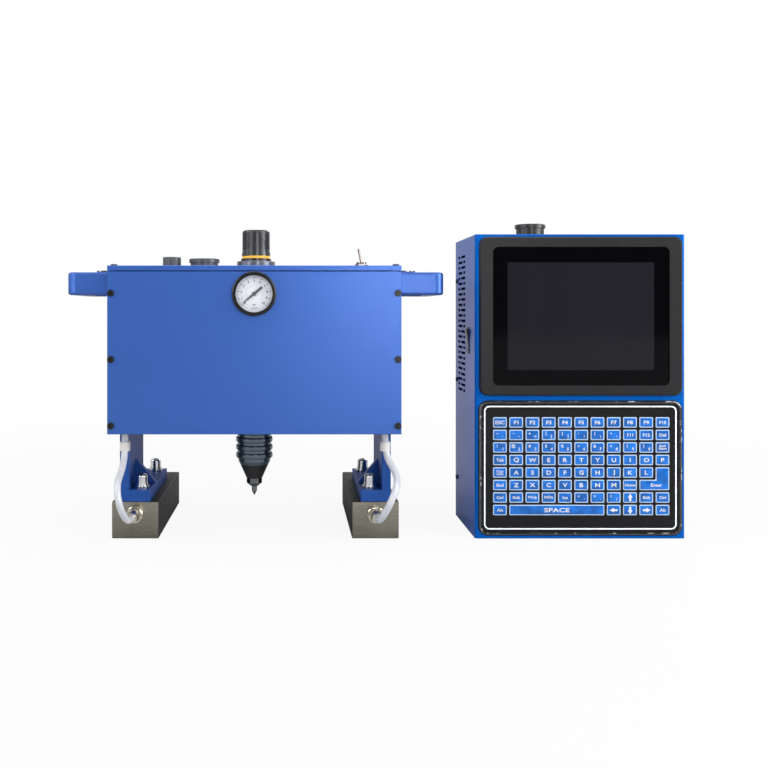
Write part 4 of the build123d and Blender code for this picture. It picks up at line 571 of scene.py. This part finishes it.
def flat_sheet(width, height):
    """A flat sheet at the origin, left open with its face selected."""
    bpy.ops.mesh.primitive_plane_add(size=1.0, location=(0.0, 0.0, 0.0))
    sheet = bpy.context.active_object
    sheet.scale = (width, height, 1.0)
    bpy.ops.object.transform_apply(location=False, rotation=False, scale=True)
    open_mesh()
    return sheet


def rounded_sheet(width, height, corner):
    """A flat sheet with rounded corners, left open with its face selected."""
    sheet = flat_sheet(width, height)
    bpy.ops.mesh.bevel(offset=corner, segments=corner_steps, affect="VERTICES", clamp_overlap=False)
    bpy.ops.mesh.select_all(action="SELECT")
    return sheet


def plate(width, height, corner, depth):
    """A solid sheet with rounded corners."""
    solid = rounded_sheet(width, height, corner)
    raise_faces(depth)
    close_mesh()
    return solid


def padded_key(width, height, corner, rise, rim):
    """One key pad: straight sides, a rolled edge and a slightly crowned top."""
    pad = rounded_sheet(width, height, corner)
    raise_faces(rise)
    crown(width, height, rim)
    close_mesh()
    return pad


def crown(width, height, rim):
    """Rounds over the selected top face in three steps, each smaller and a little higher."""
    for step, lift in crown_steps:
        raise_faces(rim * lift)
        shrink = [1 - 2 * rim * step / size for size in (width, height)]
        bpy.ops.transform.resize(value=(*shrink, 1.0), center_override=(0.0, 0.0, 0.0))
        width, height = width * shrink[0], height * shrink[1]


def band(width, height, corner, border, rise, edge):
    """A rounded frame, border wide, with its top edges eased."""
    ring = rounded_sheet(width, height, corner)
    bpy.ops.mesh.inset(thickness=border, depth=0.0)
    bpy.ops.mesh.delete(type="FACE")
    bpy.ops.mesh.select_all(action="SELECT")
    raise_faces(rise)

    def on_top_rim(line):
        high = all(point.co.z > rise / 2 for point in line.verts)
        return high and sum(abs(face.normal.z) > 0.5 for face in line.link_faces) == 1

    select_where(ring, "edge", on_top_rim)
    bpy.ops.mesh.bevel(offset=edge, segments=2, affect="EDGES")
    close_mesh()
    return ring


def letters(text, size, depth, weight=0.0):
    """Raised lettering that lies at the origin, as a mesh."""
    bpy.ops.object.text_add(location=(0.0, 0.0, 0.0))
    word = bpy.context.active_object
    word.data.body = text
    word.data.size = size
    word.data.align_x = "CENTER"
    word.data.align_y = "CENTER"
    word.data.space_line = line_spacing
    word.data.resolution_u = letter_steps
    word.data.extrude = depth / 2
    word.data.offset = weight
    only(word)
    bpy.ops.object.convert(target="MESH")
    word = bpy.context.active_object
    centre_on_origin(word)
    return word


def centre_on_origin(piece):
    """Moves a mesh so that the middle of its box in x and y is at the origin."""
    points = [point.co for point in piece.data.vertices]
    x = (min(p.x for p in points) + max(p.x for p in points)) / 2
    y = (min(p.y for p in points) + max(p.y for p in points)) / 2
    put(piece, -x, -y)


def arrow(length, depth):
    """A solid arrow that points along +X and lies at the origin."""
    bpy.ops.mesh.primitive_circle_add(vertices=3, radius=length * 0.42, fill_type="NGON",
                                      location=(length * 0.2, 0.0, 0.0), rotation=(0.0, 0.0, -math.pi / 2))
    head = bpy.context.active_object
    settle(head)
    open_mesh()
    raise_faces(depth)
    close_mesh()
    stem = plate(length * 0.55, length * 0.3, length * 0.02, depth)
    put(stem, -length * 0.25)
    return join([head, stem], "arrow")


# Head pieces
def make_magnet_cable(name, side, route):
    """One cable, from its gland up into the base plate, as a smooth spline on the route's points."""
    line = bpy.data.curves.new(name, "CURVE")
    line.dimensions = "3D"
    line.bevel_depth = cable_diameter / 2
    line.bevel_resolution = 6
    line.use_fill_caps = True
    spline = line.splines.new("NURBS")
    spline.points.add(len(route) - 1)
    for point, (x, y, z) in zip(spline.points, route):
        point.co = (head_middle + side * (magnet_middle + x), cover_low.y + y, z, 1.0)
    spline.order_u = 3
    spline.use_endpoint_u = True
    spline.resolution_u = 16
    cable = bpy.data.objects.new(name, line)
    bpy.context.scene.collection.objects.link(cable)
    return cable


def lay_magnet_cables(sheath):
    for word, side, route in (("left", -1, left_route), ("right", 1, right_route)):
        name = f"magnet_cable_{word}"
        cable = make_magnet_cable(f"{name}_sheath", side, route)
        cable.data.materials.append(sheath)
        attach(cable, "head")
        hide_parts(name)


def spoke(reach, angle):
    """The x and y of a point that far from the origin, at that angle."""
    return reach * math.cos(angle), reach * math.sin(angle)


def dial_stroke(angle, outer, length, width, depth):
    """A stroke that points to the dial's middle."""
    stroke = plate(length, width, width * 0.2, depth)
    put(stroke, *spoke(outer - length / 2, angle), turn=angle)
    return stroke


def make_dial_marks(reach):
    """The gauge's outer scale in black, with numbers and a unit, and its inner scale in red."""
    start, sweep, divisions, fine = math.radians(225), math.radians(270), 10, 50
    long_stroke, short_stroke = (2.8 * mm, 0.65 * mm), (1.4 * mm, 0.32 * mm)
    red_stroke = (0.9 * mm, 0.3 * mm)
    number_size, number_weight, number_inset, unit_weight = 3.6 * mm, 0.1 * mm, 4.9 * mm, 0.06 * mm
    depth = 0.05 * mm
    black, red = [], []
    for step in range(fine + 1):
        angle = start - sweep * step / fine
        size = short_stroke if step % (fine // divisions) else long_stroke
        black.append(dial_stroke(angle, reach, *size, depth))
        if step % 2 == 0:
            red.append(dial_stroke(angle, reach * 0.5, *red_stroke, depth))
    for step in range(divisions + 1):
        angle = start - sweep * step / divisions
        number = letters(str(step), number_size, depth * 2, number_weight)
        put(number, *spoke(reach - number_inset, angle))
        black.append(number)
    for words, size, drop in (("bar", 3.0 * mm, 0.62), ("x 100 kPa", 1.8 * mm, 0.82)):
        unit = letters(words, size, depth * 2, unit_weight)
        put(unit, 0.0, -reach * drop)
        black.append(unit)
    centre = (dial_low + dial_high) / 2
    scales = [join(black, "gauge_dial_marks"), join(red, "gauge_inner_scale")]
    for scale in scales:
        face_front(scale, centre.x, dial_low.y, centre.z)
    return scales


def make_knob_marks():
    """Turn arrow with plus and minus on top of the regulator knob."""
    low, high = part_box("regulator_knob")
    centre = (low + high) / 2
    sign_size, sign_weight, depth = 7 * mm, 0.12 * mm, 0.2 * mm
    bow_radius, bow_width, bow_start, bow_sweep = 9 * mm, 1 * mm, math.radians(35), math.radians(110)
    signs = []
    for sign, side in (("+", 1), ("-", -1)):
        signs.append(letters(sign, sign_size, depth, sign_weight))
        put(signs[-1], side * 6 * mm, -5 * mm)
    bpy.ops.mesh.primitive_plane_add(size=1.0, location=(bow_radius, 0.0, 0.0),
                                     rotation=(math.pi / 2, 0.0, 0.0))
    bow = bpy.context.active_object
    bow.scale = (bow_width, depth, 1.0)
    settle(bow)
    open_mesh()
    bpy.ops.mesh.spin(steps=24, angle=bow_sweep, center=(0.0, 0.0, 0.0), axis=(0.0, 0.0, 1.0))
    close_mesh()
    close_up(bow)
    put(bow, turn=bow_start)
    tip = arrow(5 * mm, depth / 2)
    put(tip, *spoke(bow_radius, bow_start), turn=bow_start + 1.5 * math.pi)
    marks = join([*signs, bow, tip], "regulator_knob_marks")
    put(marks, centre.x, centre.y, high.z)
    return marks


def contact_pins(x, y, floor, circle, count):
    """Round-nosed contact pins that stand in a socket's insert."""
    pins = []
    for step in range(count):
        angle = 2 * math.pi * step / count
        right, back = spoke(circle / 2, angle)
        bpy.ops.mesh.primitive_cylinder_add(vertices=16, radius=contact_radius, depth=contact_length,
                                            location=(x + right, y + back, floor + contact_rise))
        pin = bpy.context.active_object
        settle(pin)
        bpy.ops.object.mode_set(mode="EDIT")
        select_where(pin, "face", lambda face: face.normal.z > 0.9)
        bpy.ops.mesh.bevel(offset=contact_nose, segments=3)
        close_mesh()
        pins.append(pin)
    return pins


# Controller pieces
def key_places():
    """Each key as its first and last column and row, with its legend."""
    places = [(column, column, row, row, legend)
              for row, legends in enumerate(key_rows)
              for column, legend in enumerate(legends) if legend]
    return places + [space_key]


def key_centre(first_column, last_column, first_row, last_row, sizes):
    x = ((first_column + last_column) / 2 - (key_columns - 1) / 2) * sizes.key_pitch_x
    z = ((first_row + last_row) / 2 - (key_row_count - 1) / 2) * sizes.key_pitch_z
    return cabinet_middle + sizes.key_field_right + x, overlay_middle + sizes.key_field_up - z


def inner_corner(inset, sizes):
    """The corner radius of a key that is smaller by an inset."""
    return max(least_corner, sizes.key_corner - inset)


def corner_key(inset, rise, rim, sizes):
    """The L-shaped key: a lying bar with a stub up from its right end."""
    width = 2 * sizes.key_pitch_x - sizes.key_gap_x - 2 * inset
    height = sizes.key_pitch_z - sizes.key_gap_z - 2 * inset
    stub = sizes.key_pitch_x - sizes.key_gap_x - 2 * inset
    key = flat_sheet(width, height)
    bpy.ops.mesh.bisect(plane_co=(width / 2 - stub, 0.0, 0.0), plane_no=(1.0, 0.0, 0.0))

    def under_stub(line):
        middle = (line.verts[0].co + line.verts[1].co) / 2
        return middle.y > height * 0.49 and middle.x > width / 2 - stub

    select_where(key, "edge", under_stub)
    bpy.ops.mesh.extrude_region_move(TRANSFORM_OT_translate={"value": (0.0, sizes.key_pitch_z, 0.0)})
    bpy.ops.mesh.select_all(action="SELECT")
    bpy.ops.mesh.dissolve_limited(angle_limit=0.01)
    bpy.ops.mesh.select_all(action="SELECT")
    bpy.ops.mesh.bevel(offset=inner_corner(inset, sizes), segments=corner_steps, affect="VERTICES")
    bpy.ops.mesh.select_all(action="SELECT")
    raise_faces(rise)
    bpy.ops.mesh.select_mode(type="EDGE")
    bpy.ops.mesh.region_to_loop()
    bpy.ops.mesh.bevel(offset=min(rim, sizes.key_corner - inset) * 0.6, segments=2, affect="EDGES")
    close_mesh()
    return key


def make_key_layer(name, inset, low, rise, rim, sizes):
    """One layer of all keys, each smaller than the film's raised key by the inset all round."""
    front = overlay_low.y - low
    width = sizes.key_pitch_x - sizes.key_gap_x - 2 * inset
    height = sizes.key_pitch_z - sizes.key_gap_z - 2 * inset
    corner = inner_corner(inset, sizes)
    model = padded_key(width, height, corner, rise, rim)
    face_front(model, 0.0, front, 0.0)
    keys = []
    for first, last, *rows in key_places():
        x, z = key_centre(first, last, *rows[:2], sizes)
        if first == last:
            key = model.copy()
            key.data = model.data.copy()
            bpy.context.scene.collection.objects.link(key)
            key.location = (x, 0.0, z)
            settle(key)
        else:
            key = padded_key(width + (last - first) * sizes.key_pitch_x, height, corner, rise, rim)
            face_front(key, x, front, z)
        keys.append(key)
    corner_one = corner_key(inset, rise, rim, sizes)
    x, z = key_centre(*enter_key[:4], sizes)
    face_front(corner_one, x, front, z)
    keys.append(corner_one)
    bpy.data.objects.remove(model)
    layer = join(keys, name)
    close_up(layer)
    bpy.ops.object.shade_smooth_by_angle(angle=math.radians(35))
    return layer


def legend_size(legend):
    """The height and the widening of a legend's letters, and how much they are fattened."""
    if len(legend) == 1:
        return 6.4 * mm, 1.25, 0.12 * mm
    if legend in ("ESC", "F1", "F2", "F3", "F4", "F5", "F6", "F7", "F8", "F9"):
        return 5.6 * mm, 1.2, 0.11 * mm
    if legend == "SPACE":
        return 6.6 * mm, 1.55, 0.12 * mm
    if legend == "Enter":
        return 5.0 * mm, 1.15, 0.09 * mm
    if "\n" in legend:
        return 3.6 * mm, 1.1, 0.06 * mm
    return (4.9 * mm if len(legend) == 3 else 4.2 * mm), 1.12, 0.08 * mm


def make_key_legends(front, sizes):
    """White letters, numbers, signs and arrows, one or two to a key."""
    depth, words = 0.06 * mm, []
    for first, last, top, bottom, legend in key_places() + [enter_key]:
        x, z = key_centre(first, last, top, bottom, sizes)
        if legend in arrow_turns:
            word = arrow(7.6 * mm, depth)
            put(word, turn=arrow_turns[legend])
            face_front(word, x, front, z)
        elif len(legend) == 2 and not legend.isalnum():
            upper, word = [letters(sign, 4.6 * mm, depth, 0.08 * mm) for sign in legend]
            face_front(upper, x - 3.2 * mm, front, z + 1.6 * mm)
            words.append(upper)
            face_front(word, x + 3.2 * mm, front, z - 1.6 * mm)
        else:
            size, widening, weight = legend_size(legend)
            word = letters(legend, size, depth, weight)
            word.scale = (widening, 1.0, 1.0)
            settle(word)
            face_front(word, x + (2.0 * mm if legend == "Enter" else 0.0), front, z)
        words.append(word)
    return join(words, "key_legends")


def make_rocker_marks():
    """A bar for on and a ring for off on the rocker's two halves, which slope with its dish."""
    pivot = Vector((cabinet_low.x, cabinet_low.y, 0.0)) + Vector(rocker_pivot)
    tilt, slope = math.radians(6), math.radians(3.4)
    reach, rise, depth = 6.5 * mm, 3.58 * mm, 0.12 * mm
    mark_size, ring_corner, ring_border, ring_edge = 4.2 * mm, 2.0 * mm, 0.7 * mm, 0.02 * mm
    bar = plate(0.9 * mm, mark_size, 0.2 * mm, depth)
    ring = band(mark_size, mark_size, ring_corner, ring_border, depth, ring_edge)
    for mark, way in ((bar, -1), (ring, 1)):
        out = rise * math.cos(tilt) + way * reach * math.sin(tilt)
        up = way * reach * math.cos(tilt) - rise * math.sin(tilt)
        mark.location = pivot + Vector((-out, 0.0, up))
        mark.rotation_euler = (math.pi / 2 + tilt + way * slope, 0.0, -math.pi / 2)
        settle(mark)
    return join([bar, ring], "rocker_marks")


# Stage
def white_floor(name):
    """A pale floor that the camera sees as white, with the object's shadow kept."""
    finish = Finish(name)
    speckle = finish.noise(240.0)
    shade = finish.mix(speckle, (0.48, 0.48, 0.49), (0.52, 0.52, 0.52))
    plain = finish.node("ShaderNodeBsdfPrincipled", inputs={"Base Color": shade, "Roughness": 0.9})
    bright = finish.node("ShaderNodeEmission", inputs={"Color": (1.0, 1.0, 1.0, 1.0), "Strength": 1.0})
    reach = finish.node("ShaderNodeVectorMath", {"operation": "LENGTH"}, {0: finish.place}, output=1)
    seen = (finish.fade(reach, 0.5, 1.4, 0.92, 1.0)
            * (finish.ray("Camera") + finish.ray("Transmission")))
    mirrored = finish.fade(reach, 0.4, 2.0, 0.05, 0.8) * finish.ray("Glossy")
    shader = finish.node("ShaderNodeMixShader", inputs={0: seen + mirrored, 1: plain, 2: bright})
    finish.node("ShaderNodeOutputMaterial", inputs={"Surface": shader})
    return finish.material


def set_world(ambient, room, backdrop):
    """White behind the object for the camera. Mirrors show it paler at the back than at the front."""
    sky = Finish("studio", "worlds")
    bpy.context.scene.world = sky.material
    way = sky.node("ShaderNodeTexCoord", output="Generated")
    back = sky.node("ShaderNodeSeparateXYZ", inputs={0: way}, output=1)
    mirrored = sky.fade(back, -0.25, 0.3, room - ambient, backdrop - ambient) * sky.ray("Glossy")
    seen = (1.0 - ambient) * (sky.ray("Camera") + sky.ray("Transmission"))
    light = sky.node("ShaderNodeBackground", inputs={"Color": (1.0, 1.0, 1.0, 1.0),
                                                     "Strength": ambient + seen + mirrored})
    sky.node("ShaderNodeOutputWorld", inputs={"Surface": light})


def soft_box(name, place, target, width, height, power):
    """A soft light that faces a target. The camera doesn't see it."""
    bpy.ops.object.light_add(type="AREA", location=place)
    lamp = bpy.context.active_object
    lamp.name = name
    lamp.data.shape = "RECTANGLE"
    lamp.data.size = width
    lamp.data.size_y = height
    lamp.data.energy = power
    lamp.visible_camera = False
    lamp.rotation_euler = (Vector(target) - Vector(place)).to_track_quat("-Z", "Y").to_euler()


class MarkingSizes(bpy.types.PropertyGroup):
    """Sizes of the pieces that this file adds."""

    key_pitch_x: bpy.props.FloatProperty(
        name="Key pitch across", description="Distance between the middles of two keys in a row",
        default=(overlay_high.x - overlay_low.x - 28.6 * mm) / key_columns, unit="LENGTH")
    key_pitch_z: bpy.props.FloatProperty(
        name="Key pitch up", description="Distance between the middles of two keys in a column",
        default=(overlay_high.z - overlay_low.z - 39.72 * mm) / key_row_count, unit="LENGTH")
    key_gap_x: bpy.props.FloatProperty(
        name="Key gap across", description="Black film between two keys in a row",
        default=3.0 * mm, unit="LENGTH")
    key_gap_z: bpy.props.FloatProperty(
        name="Key gap up", description="Black film between two keys in a column",
        default=2.46 * mm, unit="LENGTH")
    key_field_right: bpy.props.FloatProperty(
        name="Key field to the right", description="Middle of the keys right of the film's middle",
        default=0.8 * mm, unit="LENGTH")
    key_field_up: bpy.props.FloatProperty(
        name="Key field up", description="Middle of the keys above the film's middle",
        default=2.2 * mm, unit="LENGTH")
    key_corner: bpy.props.FloatProperty(
        name="Key corner", description="Corner radius of a key", default=1.2 * mm, unit="LENGTH")
    key_border: bpy.props.FloatProperty(
        name="Key border", description="Width of the pale border of a key", default=1.05 * mm,
        unit="LENGTH")
    line_width: bpy.props.FloatProperty(
        name="Outline width", description="Width of the white line round the keyboard", default=1.5 * mm,
        unit="LENGTH")
    scale_reach: bpy.props.FloatProperty(
        name="Dial scale radius", description="Outer radius of the gauge's scale", default=19.2 * mm,
        unit="LENGTH")


class MarkingColours(bpy.types.PropertyGroup):
    """Colours of the main finishes."""

    anodised: bpy.props.FloatVectorProperty(
        name="Anodised plates", description="Colour of the marking head's plates", subtype="COLOR",
        default=srgb(51, 91, 168), min=0.0, max=1.0)
    enamel: bpy.props.FloatVectorProperty(
        name="Cabinet enamel", description="Colour of the controller's cabinet", subtype="COLOR",
        default=srgb(12, 84, 165), min=0.0, max=1.0)
    keys: bpy.props.FloatVectorProperty(
        name="Key pads", description="Colour of the keyboard's pads", subtype="COLOR",
        default=srgb(4, 88, 168), min=0.0, max=1.0)
    ink: bpy.props.FloatVectorProperty(
        name="White ink", description="Colour of the printed letters and lines", subtype="COLOR",
        default=srgb(236, 240, 248), min=0.0, max=1.0)


class MARKING_OT_finish_head(bpy.types.Operator):
    """Gives the marking head's CAD nodes their finishes"""

    bl_idname = "marking.finish_head"
    bl_label = "Finish the head"

    def execute(self, context):
        colours = context.scene.marking_colours
        # A node that has a finish of its own comes after its slot.
        blue = tuple(colours.anodised)
        for target, material in (
            ("anodised_blue", anodised_aluminium("anodised_blue", blue)),
            # The legs take the anodised blue darkened by 30 % as painted shade, with no tint or coat and
            # less sheen.
            (["legs"], anodised_aluminium("anodised_legs", tinted(blue, -0.3), 0.0, 0.0, 0.3,
                                          Specular_IOR_Level=0.1)),
            ("black_steel", metal("blackened_steel", srgb(18, 18, 20), 0.3, 1200.0, 0.03 * mm,
                                  metallic=0.4)),
            (["gauge_case"], metal("gauge_enamel", srgb(11, 12, 14), 0.3, 900.0, 0.02 * mm, metallic=0.2,
                                   Specular_IOR_Level=0.2, Coat_Weight=0.6, Coat_Roughness=0.06)),
            (["stylus_sleeve"], turned("stylus_sleeve_grey", srgb(88, 100, 110), 0.2, metallic=0.8)),
            ("bright_steel", metal("bright_zinc", srgb(206, 206, 208), 0.16, 700.0, 0.02 * mm,
                                   (1.0, 1.0, 0.2))),
            ("magnet_steel", ground_magnet_steel("ground_magnet_steel")),
            ("nickel", metal("nickel_plate", srgb(190, 184, 170), 0.2, 500.0, 0.02 * mm,
                             (0.3, 1.0, 1.0))),
            (["stylus_nozzle"], metal("worn_nickel", srgb(104, 106, 108), 0.2, 700.0, 0.02 * mm)),
            (["toggle_lever", "toggle_body"],
             metal("dull_chrome", srgb(118, 110, 106), 0.14, 400.0, 0.01 * mm)),
            (["strap_brackets", "strap_ring_left", "strap_ring_right"],
             metal("chrome_plate", srgb(170, 170, 174), 0.12, 300.0, 0.01 * mm, tone=0.03)),
            ("aluminium", metal("machined_aluminium", srgb(190, 192, 196), 0.32, 900.0, 0.03 * mm,
                                (0.05, 1.0, 1.0))),
            ("hard_steel", hardened_pin("hardened_pin")),
            ("black_plastic", moulded("black_moulding", srgb(14, 16, 18), 0.34)),
            (["regulator_knob"], moulded("knob_moulding", srgb(38, 40, 45), 0.24)),
            (["head_sockets"], moulded("socket_moulding", srgb(64, 67, 74), 0.36)),
            ("grey_plastic", moulded("grey_moulding", srgb(96, 98, 108), 0.4)),
            (["regulator_panel_nut"], panel_nut("panel_nut")),
            ("pale_nylon", moulded("pale_nylon", srgb(198, 196, 192), 0.34)),
            ("yellow_plastic", moulded("yellow_moulding", srgb(246, 184, 52), 0.4)),
            ("white_dial", dial_enamel("dial_enamel")),
            ("pointer_black", printed_ink("pointer_paint", srgb(24, 24, 28))),
            ("clear_glass", clear_lens("gauge_lens_glass")),
        ):
            dress(target, material)
        return {"FINISHED"}


class MARKING_OT_finish_controller(bpy.types.Operator):
    """Gives the controller's CAD nodes their finishes"""

    bl_idname = "marking.finish_controller"
    bl_label = "Finish the controller"

    def execute(self, context):
        colours = context.scene.marking_colours
        dress("paint_blue", gloss_enamel("cabinet_enamel", tuple(colours.enamel)))
        dress(["display_bezel"],
              moulded("bezel_moulding", srgb(27, 27, 29), 0.36, Specular_IOR_Level=0.2))
        dress("dark_glass", screen_face("screen_face"))
        dress("overlay_film", keyboard_film("keyboard_film"))
        dress("board", circuit_board("circuit_board"))
        return {"FINISHED"}


class MARKING_OT_make_cables(bpy.types.Operator):
    """Lays the two magnet cables from their glands up into the base plate"""

    bl_idname = "marking.make_cables"
    bl_label = "Magnet cables"

    def execute(self, context):
        lay_magnet_cables(cable_sheath("cable_sheath"))
        return {"FINISHED"}


class MARKING_OT_make_dial(bpy.types.Operator):
    """Prints the pressure gauge's scale"""

    bl_idname = "marking.make_dial"
    bl_label = "Gauge scale"

    def execute(self, context):
        marks, inner = make_dial_marks(context.scene.marking_sizes.scale_reach)
        finish_piece(marks, printed_ink("dial_ink", srgb(22, 24, 32)), "head")
        finish_piece(inner, printed_ink("dial_red", srgb(176, 44, 40)), "head")
        return {"FINISHED"}


class MARKING_OT_make_knob_marks(bpy.types.Operator):
    """Adds the turning arrow on the regulator's knob"""

    bl_idname = "marking.make_knob_marks"
    bl_label = "Knob arrow"

    def execute(self, context):
        finish_piece(make_knob_marks(), printed_ink("knob_ink", srgb(206, 208, 212)), "knob")
        return {"FINISHED"}


class MARKING_OT_make_contacts(bpy.types.Operator):
    """Stands the contact pins in the three round sockets"""

    bl_idname = "marking.make_contacts"
    bl_label = "Socket contacts"

    def execute(self, context):
        gold = metal("contact_gold", srgb(214, 178, 96), 0.22, 900.0, 0.01 * mm)
        y = cover_low.y + head_socket_back
        pins = contact_pins(head_middle + data_socket_right, y, data_floor, data_circle,
                            data_contacts)
        pins += contact_pins(head_middle + small_socket_right, y, small_floor, small_circle,
                             small_contacts)
        finish_piece(join(pins, "head_socket_contacts"), gold, "head")
        x, y = cabinet_middle + controller_socket_right, cabinet_low.y + controller_socket_back
        pins = contact_pins(x, y, controller_floor, data_circle, data_contacts)
        finish_piece(join(pins, "controller_socket_contacts"), gold, "controller")
        return {"FINISHED"}


class MARKING_OT_make_keyboard(bpy.types.Operator):
    """Makes the key pads, their borders, the legends and the white outline"""

    bl_idname = "marking.make_keyboard"
    bl_label = "Keyboard"

    def execute(self, context):
        sizes, colours = context.scene.marking_sizes, context.scene.marking_colours
        film_front, legend_front = overlay_low.y + 0.5 * mm, overlay_low.y - 0.8 * mm
        line_width, line_height, line_corner, line_up = 218 * mm, 140 * mm, 6 * mm, 0.45 * mm
        bead_margin, bead_corner, bead_border = 0.4 * mm, 10.8 * mm, 3.6 * mm
        borders = make_key_layer("key_borders", -0.02 * mm, -0.1 * mm, 0.15 * mm, 0.3 * mm, sizes)
        pads = make_key_layer("key_pads", sizes.key_border, 0.0, 0.3 * mm, 1.2 * mm, sizes)
        legends = make_key_legends(legend_front, sizes)
        line = band(line_width, line_height, line_corner, sizes.line_width, 0.1 * mm, 0.03 * mm)
        face_front(line, cabinet_middle, film_front, overlay_middle + line_up)
        line.name = "keyboard_outline"
        film = overlay_high - overlay_low
        bead = band(film.x - bead_margin, film.z - bead_margin, bead_corner, bead_border,
                    0.95 * mm, 1.6 * mm)
        face_front(bead, cabinet_middle, film_front, overlay_middle)
        bead.name = "overlay_bead"
        white = tuple(colours.ink)
        for piece, material in ((borders, printed_ink("border_ink", srgb(166, 188, 214))),
                                (pads, key_gloss("key_resin", tuple(colours.keys))),
                                (legends, printed_ink("legend_ink", tinted(white, -0.3))),
                                (line, printed_ink("white_ink", white)),
                                (bead, lacquer_bead("lacquer_bead"))):
            finish_piece(piece, material, "controller")
        return {"FINISHED"}


class MARKING_OT_make_rocker_marks(bpy.types.Operator):
    """Marks the power rocker's on and off halves"""

    bl_idname = "marking.make_rocker_marks"
    bl_label = "Rocker marks"

    def execute(self, context):
        ink = printed_ink("rocker_ink", tuple(context.scene.marking_colours.ink))
        finish_piece(make_rocker_marks(), ink, "power_rocker")
        return {"FINISHED"}


class MARKING_OT_set_stage(bpy.types.Operator):
    """Sets the floor, the lights and the camera"""

    bl_idname = "marking.set_stage"
    bl_label = "Studio"

    def execute(self, context):
        bpy.ops.mesh.primitive_circle_add(vertices=96, radius=floor_radius, fill_type="NGON",
                                          location=(0.0, 0.0, 0.0))
        floor = bpy.context.active_object
        floor.name = "floor"
        floor.data.materials.append(white_floor("pale_floor"))
        set_world(world_light, room_in_mirrors, backdrop_in_mirrors)
        for light in lights:
            soft_box(*light)
        bpy.ops.object.camera_add(location=camera_place, rotation=(math.pi / 2, 0.0, 0.0))
        camera = bpy.context.active_object
        camera.data.sensor_width = 36.0
        camera.data.lens = camera_lens
        camera.data.shift_x, camera.data.shift_y = camera_shift
        camera.data.clip_start = 0.05
        context.scene.camera = camera
        context.scene.view_settings.view_transform = "Standard"
        return {"FINISHED"}


operators = [
    MARKING_OT_set_stage, MARKING_OT_make_cables, MARKING_OT_finish_head, MARKING_OT_finish_controller,
    MARKING_OT_make_dial, MARKING_OT_make_knob_marks, MARKING_OT_make_contacts, MARKING_OT_make_keyboard,
    MARKING_OT_make_rocker_marks,
]


class MARKING_PT_panel(bpy.types.Panel):
    """Lists the machine's pieces and the values that they take"""

    bl_idname = "MARKING_PT_panel"
    bl_label = "Marking machine"
    bl_space_type = "VIEW_3D"
    bl_region_type = "UI"
    bl_category = "Marking"

    def draw(self, context):
        for group in (context.scene.marking_sizes, context.scene.marking_colours):
            box = self.layout.box()
            for name in group.bl_rna.properties.keys():
                if name not in ("rna_type", "name"):
                    box.prop(group, name)
        for operator in operators:
            self.layout.operator(operator.bl_idname)


classes = [MarkingSizes, MarkingColours, *operators, MARKING_PT_panel]


def register():
    for each in classes:
        bpy.utils.register_class(each)
    bpy.types.Scene.marking_sizes = bpy.props.PointerProperty(type=MarkingSizes)
    bpy.types.Scene.marking_colours = bpy.props.PointerProperty(type=MarkingColours)


def unregister():
    del bpy.types.Scene.marking_colours
    del bpy.types.Scene.marking_sizes
    for each in reversed(classes):
        bpy.utils.unregister_class(each)


def main():
    register()
    bpy.ops.marking.set_stage()
    bpy.ops.marking.make_cables()
    bpy.ops.marking.finish_head()
    bpy.ops.marking.finish_controller()
    bpy.ops.marking.make_dial()
    bpy.ops.marking.make_knob_marks()
    bpy.ops.marking.make_contacts()
    bpy.ops.marking.make_keyboard()
    bpy.ops.marking.make_rocker_marks()


if __name__ == "__main__":
    main()
